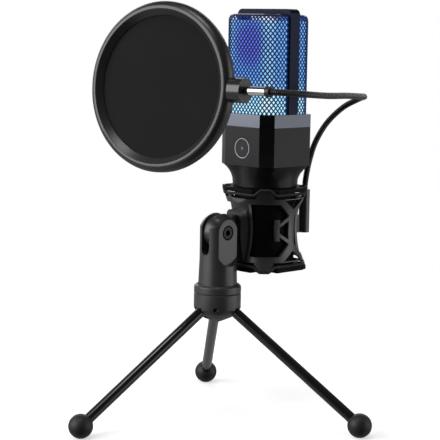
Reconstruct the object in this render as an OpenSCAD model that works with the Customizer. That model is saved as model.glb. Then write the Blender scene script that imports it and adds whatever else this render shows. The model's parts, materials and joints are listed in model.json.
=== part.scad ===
// Side-address USB desk microphone in a band-hung cradle, on a folding tripod with a pop filter.
// Millimetres. +Z is up and the microphone faces -Y. The origin is where the tripod's axis
// meets the desk.

/* [Tripod] */
// Distance from the tripod's axis to each foot's centre
foot_reach = 100.6; // [80:1:125]
// Radius of a ball foot
foot_r = 7.75; // [6:0.25:9]
// How much of the ball is pressed flat on the desk
foot_flat = 0.25; // [0.1:0.05:0.6]
// Radius of a leg rod
leg_r = 3.4; // [2.5:0.1:4]
// Direction of the first leg, in degrees from +X
leg_az = 20; // [0:5:60]
// Distance from the axis to each leg's hinge
hinge_r = 9.3; // [9:0.1:10]
// Height of the leg hinges
hinge_z = 73.9; // [65:1:85]
// Radius of a leg's hinge pin
leg_pin_r = 1.25; // [0.8:0.05:1.5]
// Radius of the hub
hub_r = 15.3; // [15:0.1:18]
// Height of the hub's turned part
hub_h = 10.8; // [10:0.2:14]
// Depth of the hub's domed underside
hub_dome = 8.5; // [7:0.5:12]
// Height of the collar on the hub
collar_h = 5.6; // [4:0.2:8]

/* [Tilt post] */
// Radius of the post at its foot
post_r = 12.7; // [12.2:0.1:13.2]
// Radius of the post's clevis, and of the round ends of its ears
ear_r = 12; // [11:0.1:12.2]
// Height of the tilt pivot above the post's foot
pivot_rise = 34.9; // [30:0.5:45]
// Width of the slot between the ears
slot_w = 6.8; // [5:0.1:8]
// Depth of the slot below the tilt pivot
slot_drop = 14.3; // [12:0.1:16]
// Radius of the spigot that turns in the hub
spigot_r = 8; // [6.5:0.1:8.5]
// Radius of the tilt bolt
bolt_r = 2.5; // [2:0.1:3]
// Radius of the bolt's socket head
bolt_head_r = 3.9; // [3.6:0.1:4.4]

/* [Cradle] */
// Distance from the tripod's axis back to the microphone's axis
mic_y = 42.2; // [40:0.5:55]
// Height of the cage
cage_h = 51.6; // [46:0.5:60]
// Radius of the cage's outside at its waist
waist_r = 22.5; // [22.3:0.1:24]
// Radius of the cage at its two rims
rim_r = 28.3; // [27.6:0.1:30]
// Thickness of the cage's wall
cage_t = 1.8; // [1.4:0.1:2]
// Width of the pillar on each side of the cage
pillar_w = 5.5; // [4:0.25:8]
// How far behind the cage's axis its side pillars stand
pillar_y = 2.5; // [0:0.25:4]
// Half width of the plain column between the cage's windows, at its front
plate_w = 8.25; // [7.5:0.25:10]
// Thickness of the stem's tongue
tongue_t = 6.2; // [4.5:0.1:6.6]
// Radius of the tongue's round end
tongue_r = 10.3; // [8:0.1:11]
// Outer radius of the inner sleeve
sleeve_r = 20; // [19.4:0.1:20.2]
// Thickness of the inner sleeve's wall
sleeve_t = 2; // [1.5:0.1:2.5]
// Thickness of the sleeve's flange bars
bar_t = 2.7; // [2:0.1:3.2]
// Distance from the microphone's axis to the outer edge of a flange bar
bar_y = 25; // [24.6:0.1:25.4]
// Radius of the elastic bands
band_r = 0.95; // [0.7:0.05:1]

/* [Microphone] */
// Width of the body, side to side
body_w = 48; // [46:0.5:52]
// Depth of the body, front to back
body_d = 44.4; // [43.4:0.2:48]
// Width of the body's front and back flats
front_flat = 31; // [26:0.5:36]
// Depth of the body's side flats
side_flat = 34; // [28:0.5:38]
// Height of the lower housing's straight part
housing_h = 25.5; // [20:0.5:35]
// Height of the trim band under the grille
trim_h = 8.5; // [6:0.5:12]
// Wall of the housing, the trim band and the shaft
wall = 2; // [1.6:0.1:2.4]
// Radius of the neck where it meets the cradle
neck_r = 21.5; // [21:0.1:22.2]
// Height of the hollow curve from the neck to the body
neck_h = 14; // [12:0.5:18]
// Radius of the shaft in the sleeve
shaft_r = 16.5; // [16:0.1:17.1]
// Height of the grille, flat top to trim band
grille_h = 64.5; // [55:0.5:80]
// Width of the grille
grille_w = 45.6; // [43:0.2:46]
// Depth of the grille
grille_d = 41.6; // [40:0.2:42.4]
// Radius of the grille's upright corners
grille_r = 11.5; // [8:0.5:13]
// Thickness of the grille
grille_t = 1.2; // [0.8:0.1:1.6]
// Width of the hoop over the head
hoop_w = 9; // [6:0.5:12]
// Thickness of the hoop
hoop_t = 3.2; // [2.8:0.1:3.6]
// How far the hoop stands above the grille's top
hoop_rise = 3.4; // [2:0.1:3.8]
// Radius of the touch pad
pad_r = 6.7; // [5:0.1:9]
// Height of the touch pad's centre above the body's lower edge
pad_rise = 11.6; // [9:0.1:14]
// Radius of the capsule
capsule_r = 12.5; // [9:0.5:14]

/* [Pop filter] */
// Outer radius of the filter's rings
filter_r = 52; // [45:0.5:56]
// Width of the rings, from the opening to the outside
rim_w = 8.7; // [8.4:0.1:13]
// Depth of each half of the ring
ring_h = 5.5; // [4.5:0.1:8]
// How far the filter is turned from the microphone's front
filter_az = 11.8; // [0:0.2:20]
// How far the filter faces upward
filter_tilt = 4.5; // [0:0.5:8]
// Radius of the boss on the ring
boss_r = 7.5; // [6:0.1:8]
// Radius of the gooseneck
neck_tube_r = 2; // [1.5:0.1:2.2]
// Radius of the bright ferrule
ferrule_r = 2.7; // [2.4:0.1:3.2]
// Radius of the clip's socket
socket_r = 3.6; // [3.3:0.1:4]

/* [Hidden] */

$fn = 64;
gap = 0.3;          // clearance between pieces that move past each other
run = 0.05;         // running fit, on the radius
seat = 0.05;        // clearance of a piece seated in another
eps = 0.01;
cut = 60;           // length of a cut that passes right through

// Tripod, from the hinges
leg_count = 3;
foot_z = foot_r - foot_flat;
leg_splay = atan((foot_reach - hinge_r) / (hinge_z - foot_z));
leg_len = norm([foot_reach - hinge_r, hinge_z - foot_z]);
slot_half = leg_r + gap;
hub_z = hinge_z - 1.5;                  // where the dome meets the turned part
hub_top = hub_z + hub_h;
collar_top = hub_top + collar_h;
spigot_z = hinge_z + slot_half + 1.6;   // floor of the spigot's bore
pin_half = slot_half + 4;
screw_r = 2.5;
screw_head_r = 4.2;
screw_head_h = 3;
screw_seat = hinge_z - 5;

// Post and tilt pivot
post_z = collar_top - 0.9;
recess_d = 1.2;                         // depth of the collar's recess round the post
pivot_z = post_z + pivot_rise;
bolt_bore_r = bolt_r + run;
counterbore_r = bolt_head_r + 0.9;
recess_x = 8.85;                        // distance of the pill-shaped flats from the slot's middle
recess_half = 8.4;
dome_r = ear_r + 0.5;                   // round top of the ears, about the tilt pivot
dome_foot = sqrt(dome_r * dome_r - ear_r * ear_r);
recess_drop = 13.4;
recess_lift = 0.2;
bolt_head_h = 3.2;
nut_h = 3.4;
nut_r = 4.3;

// Cradle
cage_z = pivot_z - cage_h / 2;
cage_top = cage_z + cage_h;
flare = rim_r - waist_r;
arc_r = ((cage_h / 2) * (cage_h / 2) + flare * flare) / (2 * flare);
arc_x = waist_r + arc_r;
cage_flat = bar_y + 0.3;
sleeve_bore = sleeve_r - sleeve_t;
bar_z = cage_top - 1.2;                 // underside of the upper bars
sleeve_top = bar_z + bar_t;
sleeve_z = 2 * pivot_z - sleeve_top;
bar_half = 12.7;
flange_r = 22.9;
float_travel = 1.5;
band_face_z = bar_z - band_r - 0.2;
band_cap_z = cage_top + band_r + 0.1;
notch_z = band_face_z - band_r - 0.3 - float_travel;
notch_half = bar_half + 1.1;
notch_rise = 4;
window_h = 34.4;
window_foot = 8;                        // height of the window's slant at the pillar
window_run = 9;
stem_half = 6.6;
stem_top = 12.8;
stem_drop = 20.2;
stem_start = ear_r + 1.6;
liner_z = sleeve_z + 8;
liner_h = sleeve_top - liner_z - 6;

// Microphone
neck_z = sleeve_top + 0.2;
body_z = neck_z + neck_h;
trim_z = body_z + housing_h;
deck_z = trim_z + trim_h;
grille_top = deck_z + grille_h;
shaft_z = sleeve_z + 5;
shaft_seat = 8;                         // depth of the socket for the shaft, in the neck
shaft_top = neck_z + shaft_seat - seat;
neck_inset = 0.8;
neck_lip = 2.5;                         // straight part of the neck under its hollow curve
deck_t = 2;
cap_t = 3;
deck_in = wall + seat;
deck_post = [15, 9];                    // place of a screw post under the deck
deck_post_r = 3;
deck_post_h = 12.5;
deck_screw_r = 1.25;
deck_head_r = 1.8;
deck_screw_len = 8;
board_t = 1.6;
board_w = 24;
board_z = shaft_z + cap_t + 3;
board_top = trim_z - 4;
board_len = board_top - board_z;
chip = [10, 1.2, 10];                   // parts on the board: width, thickness, height
driver_chip = [6, 1, 5];
coil = [12, 6, 9];
plug_block = [8, 4, 6];
can_r = 2.5;
can_h = 5;
hoop_x = body_w / 2 + 0.3;
hoop_top = grille_top + hoop_rise;
round_e = 4;                            // rounding of the grille's top edge
mesh_depth = 0.6;                       // coarse diamonds that stand for the grille's fine mesh
mesh_run = 9.24;                        // width of a diamond, three holes of the mesh
mesh_rows = 11;
mesh_rise = 2 * (grille_h - round_e - 1.8) / mesh_rows;
mesh_share = 0.81;                      // part of a diamond that isn't rib
foam_t = 2.4;
usb_w = 8.94;
usb_t = 3.26;
usb_len = 7.3;
capsule_z = deck_z + 0.52 * grille_h;
capsule_t = 9;
saddle_w = 13;
upright_x = capsule_r + 1.8;            // middle of an upright of the saddle
upright = [3, 6];

// Pop filter and gooseneck
filter_c = [7.9, -58.1, 217.2];
screen_r = filter_r - rim_w;
boss_start = filter_r - 1.4;
boss_end = boss_start + 10.2;
boss_depth = 8;
ferrule_len = 14.6;
collar_len = 3;
filter_dir = [cos(filter_az), sin(filter_az), 0];
neck_start = filter_c + (boss_end + ferrule_len + collar_len) * filter_dir;
clip_x = 9;
clip_y = mic_y + bar_y + socket_r + 0.5;
clip_z = pivot_z - 5;
clip_h = 29;
neck_end = [clip_x, clip_y, clip_z + clip_h];
end_pin_r = neck_tube_r + 0.4;
end_pin_len = clip_h - 4;
fabric_t = 0.4;
spacer_h = 1;

// The gooseneck's route between its two ends
route = [neck_start,
         [92, -37, 216.8], [93.8, -22, 215.8], [85.2, 7.2, 214], [74, 36, 213], [60, 64, 211.5],
         [44, 89, 210], [26, 105, 207.5], [11, 106, 201], [3.5, 98.5, 190.5], [2, 89, 178],
         [4, 81, 166], [7.5, 74, 155],
         neck_end];
route_out = concat([route[0] - 12 * filter_dir], route, [neck_end - [0, 0, 9]]);
route_steps = 5;
tube_sides = 8;

// ---------------------------------------------------------------- shared shapes

function unit(v) = v / norm(v);

// A point of the smooth curve through p[i] and p[i + 1]
function spline_at(p, i, t) =
    0.5 * (2 * p[i] + (p[i + 1] - p[i - 1]) * t
           + (2 * p[i - 1] - 5 * p[i] + 4 * p[i + 1] - p[i + 2]) * t * t
           + (3 * p[i] - p[i - 1] - 3 * p[i + 1] + p[i + 2]) * t * t * t);

function spline(p, steps) =
    concat([for (i = [1 : len(p) - 3], k = [0 : steps - 1]) spline_at(p, i, k / steps)],
           [p[len(p) - 2]]);

// A direction across each ring of a tube, carried along so that the tube doesn't twist
function across(tangents, last, i = 0) =
    i == len(tangents) ? []
    : let (v = unit(last - (last * tangents[i]) * tangents[i]))
      concat([v], across(tangents, v, i + 1));

// A round tube along open points, with the directions of its two ends
module tube(points, r, sides, start, end) {
    n = len(points);
    t = [for (i = [0 : n - 1])
         i == 0 ? start : i == n - 1 ? end : unit(points[i + 1] - points[i - 1])];
    u = across(t, unit(cross(t[0], [0, 0, 1])));
    rings = [for (i = [0 : n - 1], k = [0 : sides - 1])
             points[i] + r * (cos(360 * k / sides) * u[i]
                              + sin(360 * k / sides) * cross(t[i], u[i]))];
    sheet = [for (i = [0 : n - 2], k = [0 : sides - 1])
             [i * sides + k, i * sides + (k + 1) % sides,
              (i + 1) * sides + (k + 1) % sides, (i + 1) * sides + k]];
    first = [for (k = [sides - 1 : -1 : 0]) k];
    last = [for (k = [0 : sides - 1]) (n - 1) * sides + k];
    polyhedron(rings, concat(sheet, [first, last]), convexity = 6);
}

// A loop of cord whose centre line is given
module loop(points, r, sides) {
    n = len(points);
    t = [for (i = [0 : n - 1]) unit(points[(i + 1) % n] - points[(i + n - 1) % n])];
    rings = [for (i = [0 : n - 1], k = [0 : sides - 1])
             let (side = unit(cross(t[i], [0, 0, 1])))
             points[i] + r * (cos(360 * k / sides) * side
                              + sin(360 * k / sides) * cross(t[i], side))];
    polyhedron(rings, [for (i = [0 : n - 1], k = [0 : sides - 1])
               [i * sides + k, i * sides + (k + 1) % sides,
                ((i + 1) % n) * sides + (k + 1) % sides, ((i + 1) % n) * sides + k]],
               convexity = 6);
}

// Moves from the microphone's axis to the model's frame
module at_mic(z = 0) { translate([0, mic_y, z]) children(); }

// One copy for each leg, with +X pointing outward along it
module each_leg() { for (i = [0 : leg_count - 1]) leg_place(i) children(); }
module leg_place(i) { rotate([0, 0, leg_az + i * 360 / leg_count]) children(); }

// Moves to a leg's hinge, with +Z pointing back up the leg
module along_leg() { translate([hinge_r, 0, hinge_z]) rotate([0, -leg_splay, 0]) children(); }

// The filter's own frame: +Z is its front, +X points to the gooseneck
module at_filter() {
    translate(filter_c) rotate([90 - filter_tilt, 0, filter_az]) children();
}

// A rod along +X of the filter's frame
module filter_rod(x, len, r) { translate([x, 0, 0]) rotate([0, 90, 0]) cylinder(r = r, h = len); }

// The body's eight-sided outline
module body_outline(inset = 0) {
    x = body_w / 2 - inset;
    y = body_d / 2 - inset;
    fx = front_flat / 2 - inset * 0.55;
    fy = side_flat / 2 - inset * 0.35;
    polygon([[fx, -y], [x, -fy], [x, fy], [fx, y], [-fx, y], [-x, fy], [-x, -fy], [-fx, -y]]);
}

// The grille's outline
module grille_outline(inset = 0) {
    x = grille_w / 2 - inset;
    y = grille_d / 2 - inset;
    r = max(grille_r - inset, 1);
    square([2 * (x - r), 2 * y], center = true);
    square([2 * x, 2 * (y - r)], center = true);
    for (sx = [-1, 1], sy = [-1, 1]) translate([sx * (x - r), sy * (y - r)]) circle(r);
}

// The head's solid form, drawn in by an inset, with its rounded top edge
module head_form(inset) {
    top = grille_top - inset;
    translate([0, 0, deck_z]) linear_extrude(top - round_e - deck_z) grille_outline(inset);
    hull() {
        for (k = [0 : 3]) {
            a = 90 * k / 3;
            translate([0, 0, top - round_e + round_e * sin(a) - eps])
                linear_extrude(eps, $fn = 32) grille_outline(inset + round_e * (1 - cos(a)));
        }
    }
}

// ---------------------------------------------------------------- tripod

// Space that a leg needs from spread to folded
module leg_swing() {
    rotate([90, 0, 0]) linear_extrude(2 * slot_half, center = true) union() {
        translate([hinge_r, hinge_z]) circle(slot_half);
        translate([hinge_r, hinge_z]) rotate(leg_splay - 90)
            translate([0, -cut / 2]) square([cut, cut / 2 + slot_half]);
        translate([hinge_r - slot_half, hinge_z - cut]) square([2 * slot_half, cut]);
    }
}

module tripod_hub() color([0.16, 0.16, 0.17]) difference() {
    rotate_extrude()
        polygon([[0, hub_z - hub_dome], [3.5, hub_z - hub_dome], [hub_r - 6, hub_z - hub_dome + 3],
                 [hub_r - 1.5, hub_z - 2], [hub_r, hub_z + 1], [hub_r, hub_top - 0.4],
                 [hub_r - 0.4, hub_top], [0, hub_top]]);
    each_leg() leg_swing();
    each_leg() translate([hinge_r, cut / 2, hinge_z]) rotate([90, 0, 0])
        cylinder(r = leg_pin_r + seat, h = cut / 2 + pin_half + seat);
    translate([0, 0, spigot_z]) cylinder(r = spigot_r + run, h = cut);
    cylinder(r = screw_r + gap, h = spigot_z + 1);
    translate([0, 0, -eps]) cylinder(r = screw_head_r + gap, h = screw_seat);
}

module hub_collar() color([0.18, 0.18, 0.19]) difference() {
    translate([0, 0, hub_top]) rotate_extrude()
        polygon([[0, 0], [hub_r - 0.4, 0], [hub_r, 0.4], [hub_r, collar_h - 1.2],
                 [hub_r - 1.2, collar_h], [0, collar_h]]);
    cylinder(r = spigot_r + run, h = collar_top + 1);
    translate([0, 0, collar_top - recess_d]) cylinder(r = post_r + 0.4, h = recess_d + 1);
}

module leg_pins() color([0.5, 0.5, 0.52]) each_leg()
    translate([hinge_r, 0, hinge_z]) rotate([90, 0, 0])
        cylinder(r = leg_pin_r, h = 2 * pin_half, center = true);

module leg(i) color([0.05, 0.05, 0.05]) leg_place(i) difference() {
    union() {
        along_leg() rotate([180, 0, 0]) cylinder(r = leg_r, h = leg_len + 1.5);
        translate([hinge_r, 0, hinge_z]) rotate([90, 0, 0])
            cylinder(r = leg_r, h = 2 * leg_r, center = true);
    }
    translate([hinge_r, 0, hinge_z]) rotate([90, 0, 0])
        cylinder(r = leg_pin_r + run, h = cut, center = true);
}

module leg_1() leg(0);
module leg_2() leg(1);
module leg_3() leg(2);

module foot(i) color([0.06, 0.06, 0.06]) leg_place(i) difference() {
    translate([foot_reach, 0, foot_z]) sphere(foot_r);
    translate([foot_reach, 0, -cut / 2]) cube([cut, cut, cut], center = true);
    along_leg() rotate([180, 0, 0]) cylinder(r = leg_r + seat, h = leg_len + 1.5 + seat);
}

module foot_1() foot(0);
module foot_2() foot(1);
module foot_3() foot(2);

// ---------------------------------------------------------------- tilt post

// A pill-shaped recess on one ear, from its flat outward
module ear_recess() translate([recess_x, 0, pivot_z + recess_lift]) {
    rotate([0, 90, 0]) cylinder(r = recess_half, h = cut);
    translate([0, -recess_half, -recess_drop]) cube([cut, 2 * recess_half, recess_drop]);
    translate([0, 0, -recess_drop]) rotate([0, 90, 0]) cylinder(r = recess_half, h = cut);
}

module tilt_post() color([0.2, 0.2, 0.21]) difference() {
    union() {
        translate([0, 0, spigot_z + gap]) cylinder(r = spigot_r, h = post_z - spigot_z);
        translate([0, 0, post_z]) cylinder(r1 = post_r, r2 = ear_r, h = pivot_rise / 2);
        translate([0, 0, post_z + pivot_rise / 2 - eps])
            cylinder(r = ear_r, h = pivot_rise / 2 + dome_foot);
        intersection() {
            translate([0, 0, pivot_z]) sphere(dome_r);
            translate([0, 0, pivot_z + dome_foot - eps]) cylinder(r = dome_r, h = dome_r);
        }
    }
    translate([-slot_w / 2, -cut / 2, pivot_z - slot_drop + slot_w / 2]) cube([slot_w, cut, cut]);
    translate([0, 0, pivot_z - slot_drop + slot_w / 2]) rotate([90, 0, 0])
        cylinder(r = slot_w / 2, h = cut, center = true);
    for (side = [0, 180]) rotate([0, 0, side]) ear_recess();
    translate([0, 0, pivot_z]) rotate([0, 90, 0])
        cylinder(r = bolt_bore_r, h = cut, center = true);
    translate([recess_x - bolt_head_h, 0, pivot_z]) rotate([0, 90, 0])
        cylinder(r = counterbore_r, h = cut);
    translate([-recess_x + nut_h, 0, pivot_z]) rotate([0, -90, 0])
        cylinder(r = nut_r + seat, h = cut, $fn = 6);
    cylinder(r = screw_r + seat, h = post_z + 8);
}

module pivot_screw() color([0.45, 0.45, 0.47]) {
    translate([0, 0, screw_seat - gap - screw_head_h]) difference() {
        cylinder(r = screw_head_r, h = screw_head_h);
        translate([0, 0, -eps]) cylinder(r = 2.3, h = 1.8, $fn = 6);
    }
    translate([0, 0, screw_seat - gap - eps]) cylinder(r = screw_r, h = post_z + 7 - screw_seat);
}

module tilt_bolt() color([0.3, 0.3, 0.31]) translate([0, 0, pivot_z]) rotate([0, 90, 0]) {
    translate([0, 0, -recess_x - 0.6]) cylinder(r = bolt_r, h = 2 * recess_x - bolt_head_h + 0.6);
    translate([0, 0, recess_x - bolt_head_h]) difference() {
        cylinder(r = bolt_head_r, h = bolt_head_h);
        translate([0, 0, bolt_head_h - 2]) cylinder(r = 2, h = 3, $fn = 6);
    }
}

module tilt_nut() color([0.4, 0.4, 0.42]) translate([-recess_x, 0, pivot_z]) rotate([0, 90, 0])
    difference() {
        cylinder(r = nut_r, h = nut_h, $fn = 6);
        translate([0, 0, -1]) cylinder(r = bolt_r + seat, h = nut_h + 2);
    }

// ---------------------------------------------------------------- cradle

// The cage's spool-shaped wall before its windows are cut
module cage_wall() rotate_extrude() intersection() {
    translate([arc_x, 0]) difference() {
        circle(arc_r + cage_t, $fn = 128);
        circle(arc_r, $fn = 128);
    }
    translate([sleeve_r - 1, -cage_h / 2]) square([rim_r - sleeve_r + 1.5, cage_h]);
}

// All that lies inside the cage's outer face, grown or, below 0, shrunk by a clearance
module cage_inside(grow) rotate_extrude() difference() {
    translate([0, -cage_h / 2]) square([rim_r, cage_h]);
    translate([arc_x, 0]) circle(arc_r - grow, $fn = 128);
}

// Cut for a sleeve's bar and the band under it, on one face, at the top
module bar_notch() {
    h = cage_top - pivot_z;
    d = notch_z - pivot_z;
    rotate([90, 0, 0]) linear_extrude(cut)
        polygon([[-notch_half, d], [notch_half, d], [notch_half, h - notch_rise],
                 [notch_half + notch_rise, h + 0.2], [-notch_half - notch_rise, h + 0.2],
                 [-notch_half, h - notch_rise]]);
}

// Window beside one side pillar, as seen from the side; s is 1 behind the pillar, -1 in front
module side_window(s) {
    e = pillar_y + s * pillar_w / 2;
    h = window_h / 2;
    rotate([90, 0, 90]) translate([0, 0, s > 0 ? clip_x + 3 : plate_w]) linear_extrude(cut)
        polygon([[e, h - window_foot], [e + s * (h - window_run), h], [s * cut, h],
                 [s * cut, -h], [e + s * (h - window_run), -h], [e, window_foot - h]]);
}

// Triangle between the arms above a side pillar
module arm_window() {
    h = cage_h / 2 - 5.6;
    rotate([90, 0, 90]) translate([0, 0, 12]) linear_extrude(cut)
        polygon([[pillar_y - 9.5, h], [pillar_y + 9.5, h], [pillar_y, h - 6.6]]);
}

// K-shaped stiffener across a front window
module stiffener() {
    bar = pillar_y - pillar_w / 2 - 9.5;
    rotate([90, 0, 90]) translate([0, 0, 12]) linear_extrude(cut) {
        translate([bar, -7]) square([2.4, 14]);
        for (s = [-1, 1])
            polygon([[bar + 1, s * 1], [bar + 1, s * 3.4], [bar + 10.5, s * 9.9],
                     [bar + 10.5, s * 7.1]]);
    }
}

// Stem and tongue that carry the cage on the tilt pivot
module stem() {
    reach = mic_y - waist_r + cage_t / 2;
    difference() {
        union() {
            rotate([0, 90, 0]) cylinder(r = tongue_r, h = tongue_t, center = true);
            translate([-tongue_t / 2, 0, -tongue_r]) cube([tongue_t, reach, 2 * tongue_r]);
            rotate([90, 0, 90]) translate([0, 0, -stem_half]) linear_extrude(2 * stem_half)
                polygon([[stem_start, stem_top - 1.6], [stem_start, -tongue_r / 2],
                         [stem_start + 3, -stem_drop], [reach, -stem_drop], [reach, stem_top],
                         [stem_start + 1.6, stem_top]]);
        }
        rotate([0, 90, 0]) cylinder(r = bolt_bore_r, h = cut, center = true);
        translate([0, mic_y, 0]) cage_inside(0.2 - cage_t);
    }
}

module outer_cage() color([0.13, 0.13, 0.14]) translate([0, 0, pivot_z]) {
    translate([0, mic_y, 0]) {
        difference() {
            cage_wall();
            for (a = [0 : 90 : 270]) rotate([0, 0, a]) {
                bar_notch();
                mirror([0, 0, 1]) bar_notch();
                translate([cage_flat, -cut / 2, -cut / 2]) cube([cut, cut, cut]);
            }
            for (m = [0, 1]) mirror([m, 0, 0]) {
                side_window(-1);
                side_window(1);
                arm_window();
                mirror([0, 0, 1]) arm_window();
            }
        }
        intersection() {
            cage_wall();
            for (m = [0, 1]) mirror([m, 0, 0]) stiffener();
        }
    }
    stem();
}

// Centre line of an elastic band: straight under the bars, then up over the cage's corners
function band_point(a) =
    let (b = abs(((a + 45) % 90) - 45),
         k = min(max((b - 30) / 8.5, 0), 1),
         r = b < 28 ? (bar_y - 0.8) / cos(b) : (bar_y - 0.8) / cos(28),
         z = band_face_z + k * (band_cap_z - band_face_z) - pivot_z)
    [r * cos(a), r * sin(a), z];

module elastic_band() loop([for (a = [0 : 5 : 355]) band_point(a)], band_r, 8);
module elastic_band_upper() color([0.1, 0.1, 0.1]) at_mic(pivot_z) elastic_band();
module elastic_band_lower() color([0.1, 0.1, 0.1]) at_mic(pivot_z) mirror([0, 0, 1])
    elastic_band();

// Socket for the gooseneck, with a saddle on the cage's back plate
module filter_clip() color([0.12, 0.12, 0.12]) difference() {
    union() {
        translate([clip_x, clip_y, clip_z]) cylinder(r = socket_r, h = clip_h);
        translate([-plate_w + 1, mic_y + waist_r + 0.2, clip_z])
            cube([clip_x + plate_w - 1, 3, 12]);
        translate([clip_x - 3, mic_y + waist_r + 0.2, clip_z])
            cube([3, clip_y - mic_y - waist_r, 12]);
    }
    translate([clip_x, clip_y, clip_z + clip_h - end_pin_len - gap])
        cylinder(r = end_pin_r + run, h = cut);
    at_mic(pivot_z) cage_inside(seat);
    for (z = [3, 9]) translate([-2, mic_y, clip_z + z]) rotate([-90, 0, 0])
        cylinder(r = 1.25 + seat, h = cut);
}

module clip_screws() color([0.4, 0.4, 0.42]) for (z = [3, 9])
    translate([-2, mic_y + waist_r + 3.25, clip_z + z]) rotate([90, 0, 0]) {
        translate([0, 0, -1.4]) cylinder(r = 2.2, h = 1.4);
        translate([0, 0, -eps]) cylinder(r = 1.25, h = 3);
    }

// ---------------------------------------------------------------- inner sleeve

// Flange with a bar on each of its four faces
module sleeve_flange() difference() {
    union() {
        cylinder(r = flange_r, h = bar_t);
        for (a = [0, 90]) rotate([0, 0, a])
            translate([-bar_half, -bar_y, 0]) cube([2 * bar_half, 2 * bar_y, bar_t]);
    }
    translate([0, 0, -1]) cylinder(r = sleeve_bore, h = bar_t + 2);
}

module inner_sleeve() color([0.11, 0.11, 0.11]) at_mic() {
    translate([0, 0, sleeve_z]) difference() {
        cylinder(r = sleeve_r, h = sleeve_top - sleeve_z);
        translate([0, 0, -1]) cylinder(r = sleeve_bore, h = sleeve_top - sleeve_z + 2);
    }
    translate([0, 0, bar_z]) sleeve_flange();
    translate([0, 0, sleeve_z]) sleeve_flange();
}

module sleeve_liner() color([0.07, 0.07, 0.07]) at_mic(liner_z) difference() {
    cylinder(r = sleeve_bore - seat, h = liner_h);
    translate([0, 0, -1]) cylinder(r = shaft_r + run, h = liner_h + 2);
}

// ---------------------------------------------------------------- microphone body

// Distance from the axis to the body's outline, in direction a
function outline_r(a) =
    let (x = abs(cos(a)), y = abs(sin(a)), nx = body_d - side_flat, ny = body_w - front_flat,
         h = (nx * front_flat + ny * body_d) / 2)
    min(body_w / 2 / max(x, eps), body_d / 2 / max(y, eps), h / (nx * x + ny * y));

// Directions of the neck's points in one quarter, with the outline's two corners among them
corner_a = [atan(side_flat / body_w), atan(body_d / front_flat)];
quarter_a = concat([for (k = [0 : 3]) corner_a[0] * k / 3], [(corner_a[0] + corner_a[1]) / 2],
                   [for (k = [0 : 3]) corner_a[1] + (90 - corner_a[1]) * k / 3]);
neck_a = concat([for (k = [0 : 7]) quarter_a[k]], [for (k = [8 : -1 : 1]) 180 - quarter_a[k]],
                [for (k = [0 : 7]) 180 + quarter_a[k]], [for (k = [8 : -1 : 1]) 360 - quarter_a[k]]);

// Solid form of the neck: round at the sleeve's flange, and hollowed out to the body's outline
module neck_form() {
    n = len(neck_a);
    shares = [0, 0, 0.25, 0.5, 0.75, 1, 1];
    last = len(shares) - 1;
    rings = [for (i = [0 : last], a = neck_a)
             let (s = shares[i],
                  z = i == 0 ? 0 : i == last ? neck_h + eps : neck_lip + s * (neck_h - neck_lip),
                  r = neck_r + (outline_r(a) - neck_inset - neck_r) * s * s)
             [r * cos(a), r * sin(a), neck_z + z]];
    sheet = [for (i = [0 : last - 1], k = [0 : n - 1], half = [0, 1])
             let (low = i * n, high = low + n, next = (k + 1) % n)
             half == 0 ? [low + k, high + k, high + next] : [low + k, high + next, low + next]];
    polyhedron(rings, concat(sheet, [[for (k = [0 : n - 1]) k]],
                             [[for (k = [n - 1 : -1 : 0]) last * n + k]]), convexity = 4);
}

module lower_housing() color([0.2, 0.2, 0.21]) at_mic() difference() {
    union() {
        translate([0, 0, body_z]) linear_extrude(housing_h) body_outline();
        neck_form();
    }
    translate([0, 0, body_z + wall]) linear_extrude(housing_h) body_outline(wall);
    translate([0, 0, neck_z - 1]) cylinder(r = shaft_r - wall, h = neck_h + wall + 2);
    translate([0, 0, neck_z - 1]) cylinder(r = shaft_r + seat, h = shaft_seat + 1);
    translate([0, -body_d / 2 - 1, body_z + pad_rise]) rotate([-90, 0, 0])
        cylinder(r = pad_r + seat, h = 1.8);
}

// Tube that stands in the sleeve and is seated in the housing's neck
module shaft_tube() color([0.12, 0.12, 0.12]) at_mic(shaft_z) difference() {
    cylinder(r = shaft_r, h = shaft_top - shaft_z);
    translate([0, 0, -1]) cylinder(r = shaft_r - wall, h = shaft_top - shaft_z + 2);
}

module trim_band() color([0.4, 0.4, 0.43]) at_mic(trim_z) difference() {
    linear_extrude(trim_h) body_outline();
    translate([0, 0, -1]) linear_extrude(trim_h + 2) body_outline(wall);
}

module each_deck_post() for (s = [-1, 1]) translate([s * deck_post[0], s * deck_post[1], 0])
    children();

// Metal deck inside the trim band that carries the head
module deck_plate() color([0.35, 0.35, 0.36]) at_mic(deck_z) difference() {
    union() {
        translate([0, 0, -deck_t]) linear_extrude(deck_t) body_outline(deck_in);
        each_deck_post() translate([0, 0, -deck_post_h - 1]) cylinder(r = deck_post_r, h = deck_post_h);
    }
    each_deck_post() translate([0, 0, -deck_post_h - 2])
        cylinder(r = deck_screw_r + seat, h = deck_post_h + 3);
    translate([0, 0, -deck_t - 1]) cylinder(r = 6, h = deck_t + 2);
}

module deck_screws() color([0.6, 0.6, 0.62]) at_mic(deck_z) each_deck_post() {
    cylinder(r = deck_head_r, h = 1.2);
    translate([0, 0, -deck_screw_len]) cylinder(r = deck_screw_r, h = deck_screw_len + eps);
}

module base_cap() color([0.12, 0.12, 0.12]) at_mic(shaft_z) difference() {
    union() {
        cylinder(r = shaft_r - wall - seat, h = cap_t);
        translate([0, 0, -1.5]) cylinder(r = shaft_r - 0.4, h = 1.5);
    }
    translate([-usb_w / 2 - seat - 0.3, -usb_t / 2 - seat - 0.3, -5])
        cube([usb_w + 2 * seat + 0.6, usb_t + 2 * seat + 0.6, cut]);
    for (a = [30, 150, 270]) rotate([0, 0, a]) translate([11, 0, -5])
        cylinder(r = 1 + seat, h = 20);
}

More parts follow.
